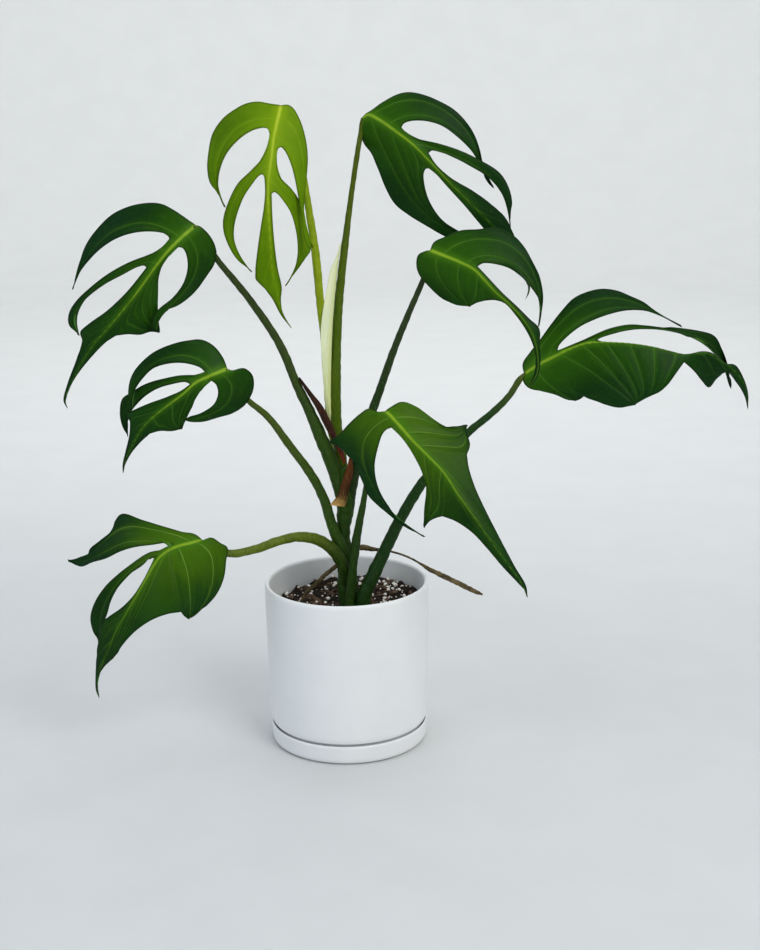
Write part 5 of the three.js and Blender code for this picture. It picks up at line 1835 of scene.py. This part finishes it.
    def grains(self, kind: Grain, count: int, sizes: tuple[float, float],
               spots: tuple[tuple[float, float, float], ...] = ()) -> Shape:
        """Strews grains over the soil.

        Args:
            kind: perlite or bark.
            count: how many.
            sizes: the smallest and the largest half length.
            spots: where the first ones lie, as rows of x, y and half length.

        Returns:
            All of them as one shape.
        """
        points, faces = self.ball()
        chosen = list(spots)
        low, high = sizes
        while len(chosen) < count:
            x, y = self.rng.uniform(-INNER_RADIUS, INNER_RADIUS, 2)
            size = low + (high - low) * self.rng.uniform() ** 2
            if math.hypot(x, y) < INNER_RADIUS - 2 - size:
                chosen.append((x, y, size))
        chosen = np.array(chosen)
        heights = self.top(chosen[:, 0], chosen[:, 1])
        all_points, all_faces, tones = [], [], []
        for number, ((x, y, size), height) in enumerate(zip(chosen, heights)):
            rough = points * self.rng.uniform(*self.unevenness, (len(points), 1))
            spin = np.linalg.qr(self.rng.normal(size=(3, 3)))[0]
            if np.linalg.det(spin) < 0:
                spin[0] *= -1
            if kind is Grain.BARK:
                lean = self.rng.normal(0, self.bark_lean, 2)
                yaw = self.rng.uniform(0, 2 * np.pi)
                spin = np.array(Matrix.Rotation(yaw, 3, "Z") @ Matrix.Rotation(lean[0], 3, "X")
                                @ Matrix.Rotation(lean[1], 3, "Y"))
            body = (rough * kind.value * size) @ spin.T
            all_points.append(body + (x, y, height + size * kind.value[2] * self.rng.uniform(*self.proud)))
            all_faces.append(faces + number * len(points))
            tones.append(np.full(len(points), self.rng.uniform()))
        return Shape(np.vstack(all_points), np.vstack(all_faces), {"tone": np.concatenate(tones)})

    def build(self, soil: Material, perlite: Material, bark: Material) -> None:
        """Makes the soil and its grains and dresses them.

        Args:
            soil: the mix's finish.
            perlite: the white grains' finish.
            bark: the bark bits' finish.
        """
        for name, shape, finish in (
            ("potting_soil", self.soil(), soil),
            ("perlite_grains", self.grains(Grain.PERLITE, self.perlite, self.perlite_size), perlite),
            ("bark_bits", self.grains(Grain.BARK, self.bark, self.bark_size, self.chunks), bark),
        ):
            shape.piece(name, "soil", "potting_mix", [finish])


# Floor, light and camera


@dataclass(frozen=True)
class SoftBox:
    """A large soft lamp that the camera doesn't see. Its place is in metres."""

    name: str
    place: tuple[float, float, float]
    size: float
    power: float
    tint: str = "#ffffff"
    target: tuple[float, float, float] = (0.05, 0.0, 0.3)


@dataclass
class Studio:
    """A plain pale cove all round, lit by large soft boxes. Its sizes are in metres.

    drop is how far its floor lies under the saucer.
    """

    flat_radius: float = 3.0
    bend: float = 1.2
    wall: float = 2.2
    drop: float = 0.0004
    sectors: int = 96
    sky: str = "#eef3f8"
    sky_strength: float = 0.59
    boxes: tuple[SoftBox, ...] = (
        SoftBox("window_light", (1.5, -2.1, 2.2), 1.7, 42.0, "#fffdf8"),
        SoftBox("side_fill", (-2.2, -1.6, 1.4), 1.8, 14.0, "#deebff"),
        SoftBox("top_light", (0.1, 0.5, 2.7), 2.2, 19.0, "#f4f8ff"),
        SoftBox("wall_wash", (0.0, 1.2, 2.9), 2.4, 65.0, "#fffdfa", (0.0, 4.6, 1.6)),
    )

    def cove(self, finish: Material) -> None:
        """Makes the floor, which turns up into the wall all round.

        Args:
            finish: its material.
        """
        bend = np.linspace(0.0, np.pi / 2, 14)
        edge = self.flat_radius + self.bend
        radii = [0.0, 0.2, 0.8, 1.6, *(self.flat_radius + self.bend * np.sin(bend)), edge]
        heights = [0.0] * 4 + [*(self.bend * (1 - np.cos(bend))), self.bend + self.wall]
        points = [
            (radius * math.cos(angle), radius * math.sin(angle), height - self.drop)
            for radius, height in zip(radii, heights) for angle in full_turn(self.sectors)
        ]
        faces = []
        for row in range(len(radii) - 1):
            for i in range(self.sectors):
                a, b = row * self.sectors + i, row * self.sectors + (i + 1) % self.sectors
                faces.append((a, a + self.sectors, b + self.sectors, b))
        mesh = bpy.data.meshes.new("cove")
        mesh.from_pydata(points, [], faces)
        mesh.materials.append(finish)
        mesh.shade_smooth()
        cove = bpy.data.objects.new("cove", mesh)
        bpy.context.scene.collection.objects.link(cove)

    def light(self) -> None:
        """Hangs the soft boxes and sets the pale surroundings."""
        for box in self.boxes:
            data = bpy.data.lights.new(box.name, "AREA")
            data.shape = "DISK"
            data.size = box.size
            data.energy = box.power
            data.color = linear(box.tint)[:3]
            lamp = bpy.data.objects.new(box.name, data)
            lamp.location = box.place
            aim = Vector(box.target) - Vector(box.place)
            lamp.rotation_euler = aim.to_track_quat("-Z", "Y").to_euler()
            lamp.visible_camera = False
            bpy.context.scene.collection.objects.link(lamp)
        world = bpy.data.worlds.new("pale_surroundings")
        world.use_nodes = True
        background = world.node_tree.nodes["Background"]
        background.inputs["Color"].default_value = linear(self.sky)
        background.inputs["Strength"].default_value = self.sky_strength
        bpy.context.scene.world = world
        bpy.context.scene.view_settings.view_transform = "Standard"

    def build(self) -> None:
        """Makes the cove, the light and the camera."""
        # Matt wall paint, rolled on: pale grey and dull, so that it shows soft shadows and no shine. The
        # roller's stipple is about 1 mm wide and is drawn coarser.
        self.cove(MottledFinish("matt_wall_paint", "#d4d6d6", "#d6d8d8", 0.9, third="#d9dada", patch=90.0,
                                grain=4.0, relief=0.1, third_strength=0.2).material())
        self.light()
        VIEW.stand_camera()


# The whole plant


FINISHES: dict[str, Finish] = {
    # Living blades, grown and waxed by the plant: deep green with soft broad highlights. The yellow green
    # beside the midrib is a painted glow of light through the blade, painted stronger on those with the light
    # behind them.
    "blade": LeafSkin("green_leaf_skin", "#0c2f05", "#123906", 0.36),
    # A lit copy: stronger painted glow of light through the blade and paler veins, for blades with the light
    # behind them.
    "lit_blade": LeafSkin(
        "backlit_green_leaf_skin", "#0e3206", "#153f06", 0.38, backlit_green="#456b08", vein="#7f9c40",
        vein_strength=0.75, backlit_strength=0.85, backlit_reach=66.0, backlit_end=0.62, outer_from=30.0,
    ),
    # A copy whose painted glow of light through the blade is darker and weaker.
    "dark_blade": LeafSkin("dark_green_leaf_skin", "#0c2e06", "#133a06", 0.34, backlit_green="#244e08"),
    # Undersides have no wax: paler and duller, with a raised rib.
    "blade_below": LeafSkin(
        "green_leaf_underside", "#3a6426", "#44702c", 0.55, vein="#86ad5c", rib="#a9c46a", glow="#55803a",
        outer="#35602a", margin="#2f5a22", backlit_green="#4a7a2a", glow_width=5.0,
    ),
    # A new blade is soft and hasn't hardened: yellow green, with hardly any shine.
    "new_blade": LeafSkin(
        "new_leaf_skin", "#557a02", "#668c08", 0.42, vein="#86a524", rib="#b2c636", glow="#83a312",
        outer="#3f6404", margin="#36420a", backlit_green="#759812", glow_width=11.0, outer_strength=0.55,
        outer_from=6.0, outer_to=55.0, backlit_reach=40.0, gloss=0.05,
    ),
    "new_blade_below": LeafSkin(
        "new_leaf_underside", "#6f8c30", "#7d9a3a", 0.55, vein="#9ab65a", rib="#b0c868", glow="#8aa648",
        outer="#6a8830", margin="#5a7426", backlit_green="#84a040",
    ),
    # Stalks have a thin wax on a firm skin: a narrow soft highlight along each, and greens of their own that
    # go from yellow green on the youngest to dark green on the oldest.
    "new_stalk": StalkSkin(
        "new_stalk_skin", "#80930f", "#97aa20", 0.42, far="#7d9a14", fleck="#b4c450", far_from=0.5,
    ),
    "stalk_2": StalkSkin("fresh_stalk_skin", "#435c05", "#506407", 0.42, far="#48560f", fleck="#7a8a34"),
    "stalk_3": StalkSkin(
        "tall_stalk_skin", "#2c4a10", "#35500f", 0.42, far="#33401c", fleck="#6c7a44", far_from=0.1,
        far_to=0.6,
    ),
    "stalk_4": StalkSkin(
        "olive_stalk_skin", "#2b4a10", "#3a5612", 0.42, far="#405016", fleck="#7a8848", far_from=0.2,
        far_to=0.7,
    ),
    "stalk_5": StalkSkin(
        "bowed_stalk_skin", "#1f3a0a", "#33480e", 0.42, far="#5c6c18", fleck="#8c9a4c", far_from=0.15,
        far_to=0.5,
    ),
    "stalk_6": StalkSkin("front_stalk_skin", "#203c0e", "#2c4810", 0.42, far="#2c4a12", fleck="#5c6e3c"),
    "stalk_7": StalkSkin("dark_stalk_skin", "#1c360e", "#26380f", 0.42, far="#2c3820", fleck="#62704c"),
    "stalk_8": StalkSkin(
        "thick_stalk_skin", "#17380d", "#1e3c0d", 0.42, far="#48561a", fleck="#5a684a", far_from=0.8,
    ),
    "shoot": StalkSkin(
        "shoot_skin", "#22420e", "#2f4c12", 0.48, far="#2f5010", fleck="#6a7844", fleck_size=2.0,
    ),
    # Sheaths are leaf bases, one still fresh and two dried out: pale and smooth, or brown, dull and fibrous.
    "pale_sheath": SheathSkin(
        "pale_sheath_tissue", "#e4ebc0", "#e9efca", 0.5, end="#dbe39a", margin="#d2e068",
        margin_strength=0.45,
    ),
    "dark_sheath": SheathSkin(
        "dark_dry_sheath", "#20140a", "#2c160c", 0.6, end="#7a3220", margin="#4a2c20", margin_strength=0.4,
        middle_at=0.8,
    ),
    "paper_sheath": SheathSkin(
        "papery_sheath", "#7a3a1e", "#4a3016", 0.7, end="#d6a860", margin="#2c1c0c", margin_strength=0.5,
        middle_at=0.75,
    ),
    # Aerial roots have a corky skin: brown and dull, with small pale scales.
    "root": MottledFinish(
        "corky_root_skin", "#3c3422", "#66573a", 0.8, third="#98875f", patch=5.0, grain=0.8, relief=0.3,
        gloss=0.2,
    ),
}
BLADE_SKINS = {"leaf_4": "dark_blade", "leaf_5": "lit_blade", "leaf_6": "lit_blade"}


@dataclass
class Plant:
    """The shoot with its stalks, blades, sheaths and aerial roots."""

    stalk_seed: int = 20
    root_seed: int = 40

    def build(self) -> None:
        """Builds and dresses every piece of the plant."""
        finish = {key: skin.material() for key, skin in FINISHES.items()}
        Stem("shoot_stem", "shoot", SHOOT, sides=28, rings=0.05, lumps=0.02, groove=0.0,
             end_taper=0.0, seed=3).build("green_shoot", finish["shoot"])
        for number, (node, drawn) in enumerate(STALKS.items()):
            name = node.replace("petiole", "stalk")
            slot, skin = ("new_stalk", "new_stalk") if node == "petiole_1" else ("green_stalk", name)
            Stem(name, node, drawn, seed=self.stalk_seed + number).build(slot, finish[skin])
        for node, drawing in BLADES.items():
            slot = "new_blade" if node == "leaf_1" else "green_blade"
            below = slot.removeprefix("green_")
            Blade(node, drawing).build(slot, finish[BLADE_SKINS.get(node, below)], finish[below + "_below"])
        torn = Strand(Hand.FIRST, STRAND_RUN, STRAND_RADII)
        Blade("leaf_7", BLADES["leaf_7"]).strand(torn).build("green_blade", finish["stalk_7"])
        Sheath("pale_sheath_wing", "pale_sheath", SHEATHS["pale_sheath"]).build(
            "pale_sheath", finish["pale_sheath"])
        Sheath("dark_sheath_strip", "dry_sheath_upper", SHEATHS["dry_sheath_upper"], cup=1.0).build(
            "dry_sheath", finish["dark_sheath"])
        Sheath("papery_sheath_strip", "dry_sheath_lower", SHEATHS["dry_sheath_lower"], wrinkle=0.5).build(
            "dry_sheath", finish["paper_sheath"])
        for number, (node, drawn) in enumerate(ROOTS.items()):
            name = node.replace("aerial_root", "root")
            Stem(name, node, drawn, sides=14, step=1.2, groove=0.0, lumps=0.035, lump_length=7.0,
                 seed=self.root_seed + number).build("aerial_root", finish["root"])


def main() -> None:
    """Builds the studio, the pot with its mix, and the plant."""
    logging.basicConfig(level=logging.INFO, format="%(message)s")
    Studio().build()
    # Stoneware, cast and dipped in a white satin glaze: cool white with one broad soft highlight.
    glaze = SatinGlaze("white_satin_glaze", "#eceeef", "#eff0f1", 0.42, 1.5).material()
    saucer().build(glaze)
    pot().build(glaze)
    # Damp peat mix is almost black with brown fibres, expanded perlite is chalky white with grey pits, and
    # milled pine bark is brown with pale torn faces. None of them shines.
    PottingMix().build(
        MottledFinish("damp_potting_mix", "#060403", "#1c130c", 0.92, third="#6a5a4a", patch=3.0, grain=0.9,
                      relief=0.5, third_strength=0.6, gloss=0.2).material(),
        MottledFinish("perlite", "#e2ded4", "#f6f3ea", 0.9, third="#b9b1a0", patch=2.0, grain=0.6,
                      relief=0.15, third_strength=0.35).material(),
        MottledFinish("pine_bark", "#2a1c12", "#5c4636", 0.85, third="#a8937c", patch=3.0, grain=0.7,
                      relief=0.3, stretch=(0.5, 1, 1), gloss=0.2).material(),
    )
    Plant().build()


if __name__ == "__main__":
    main()
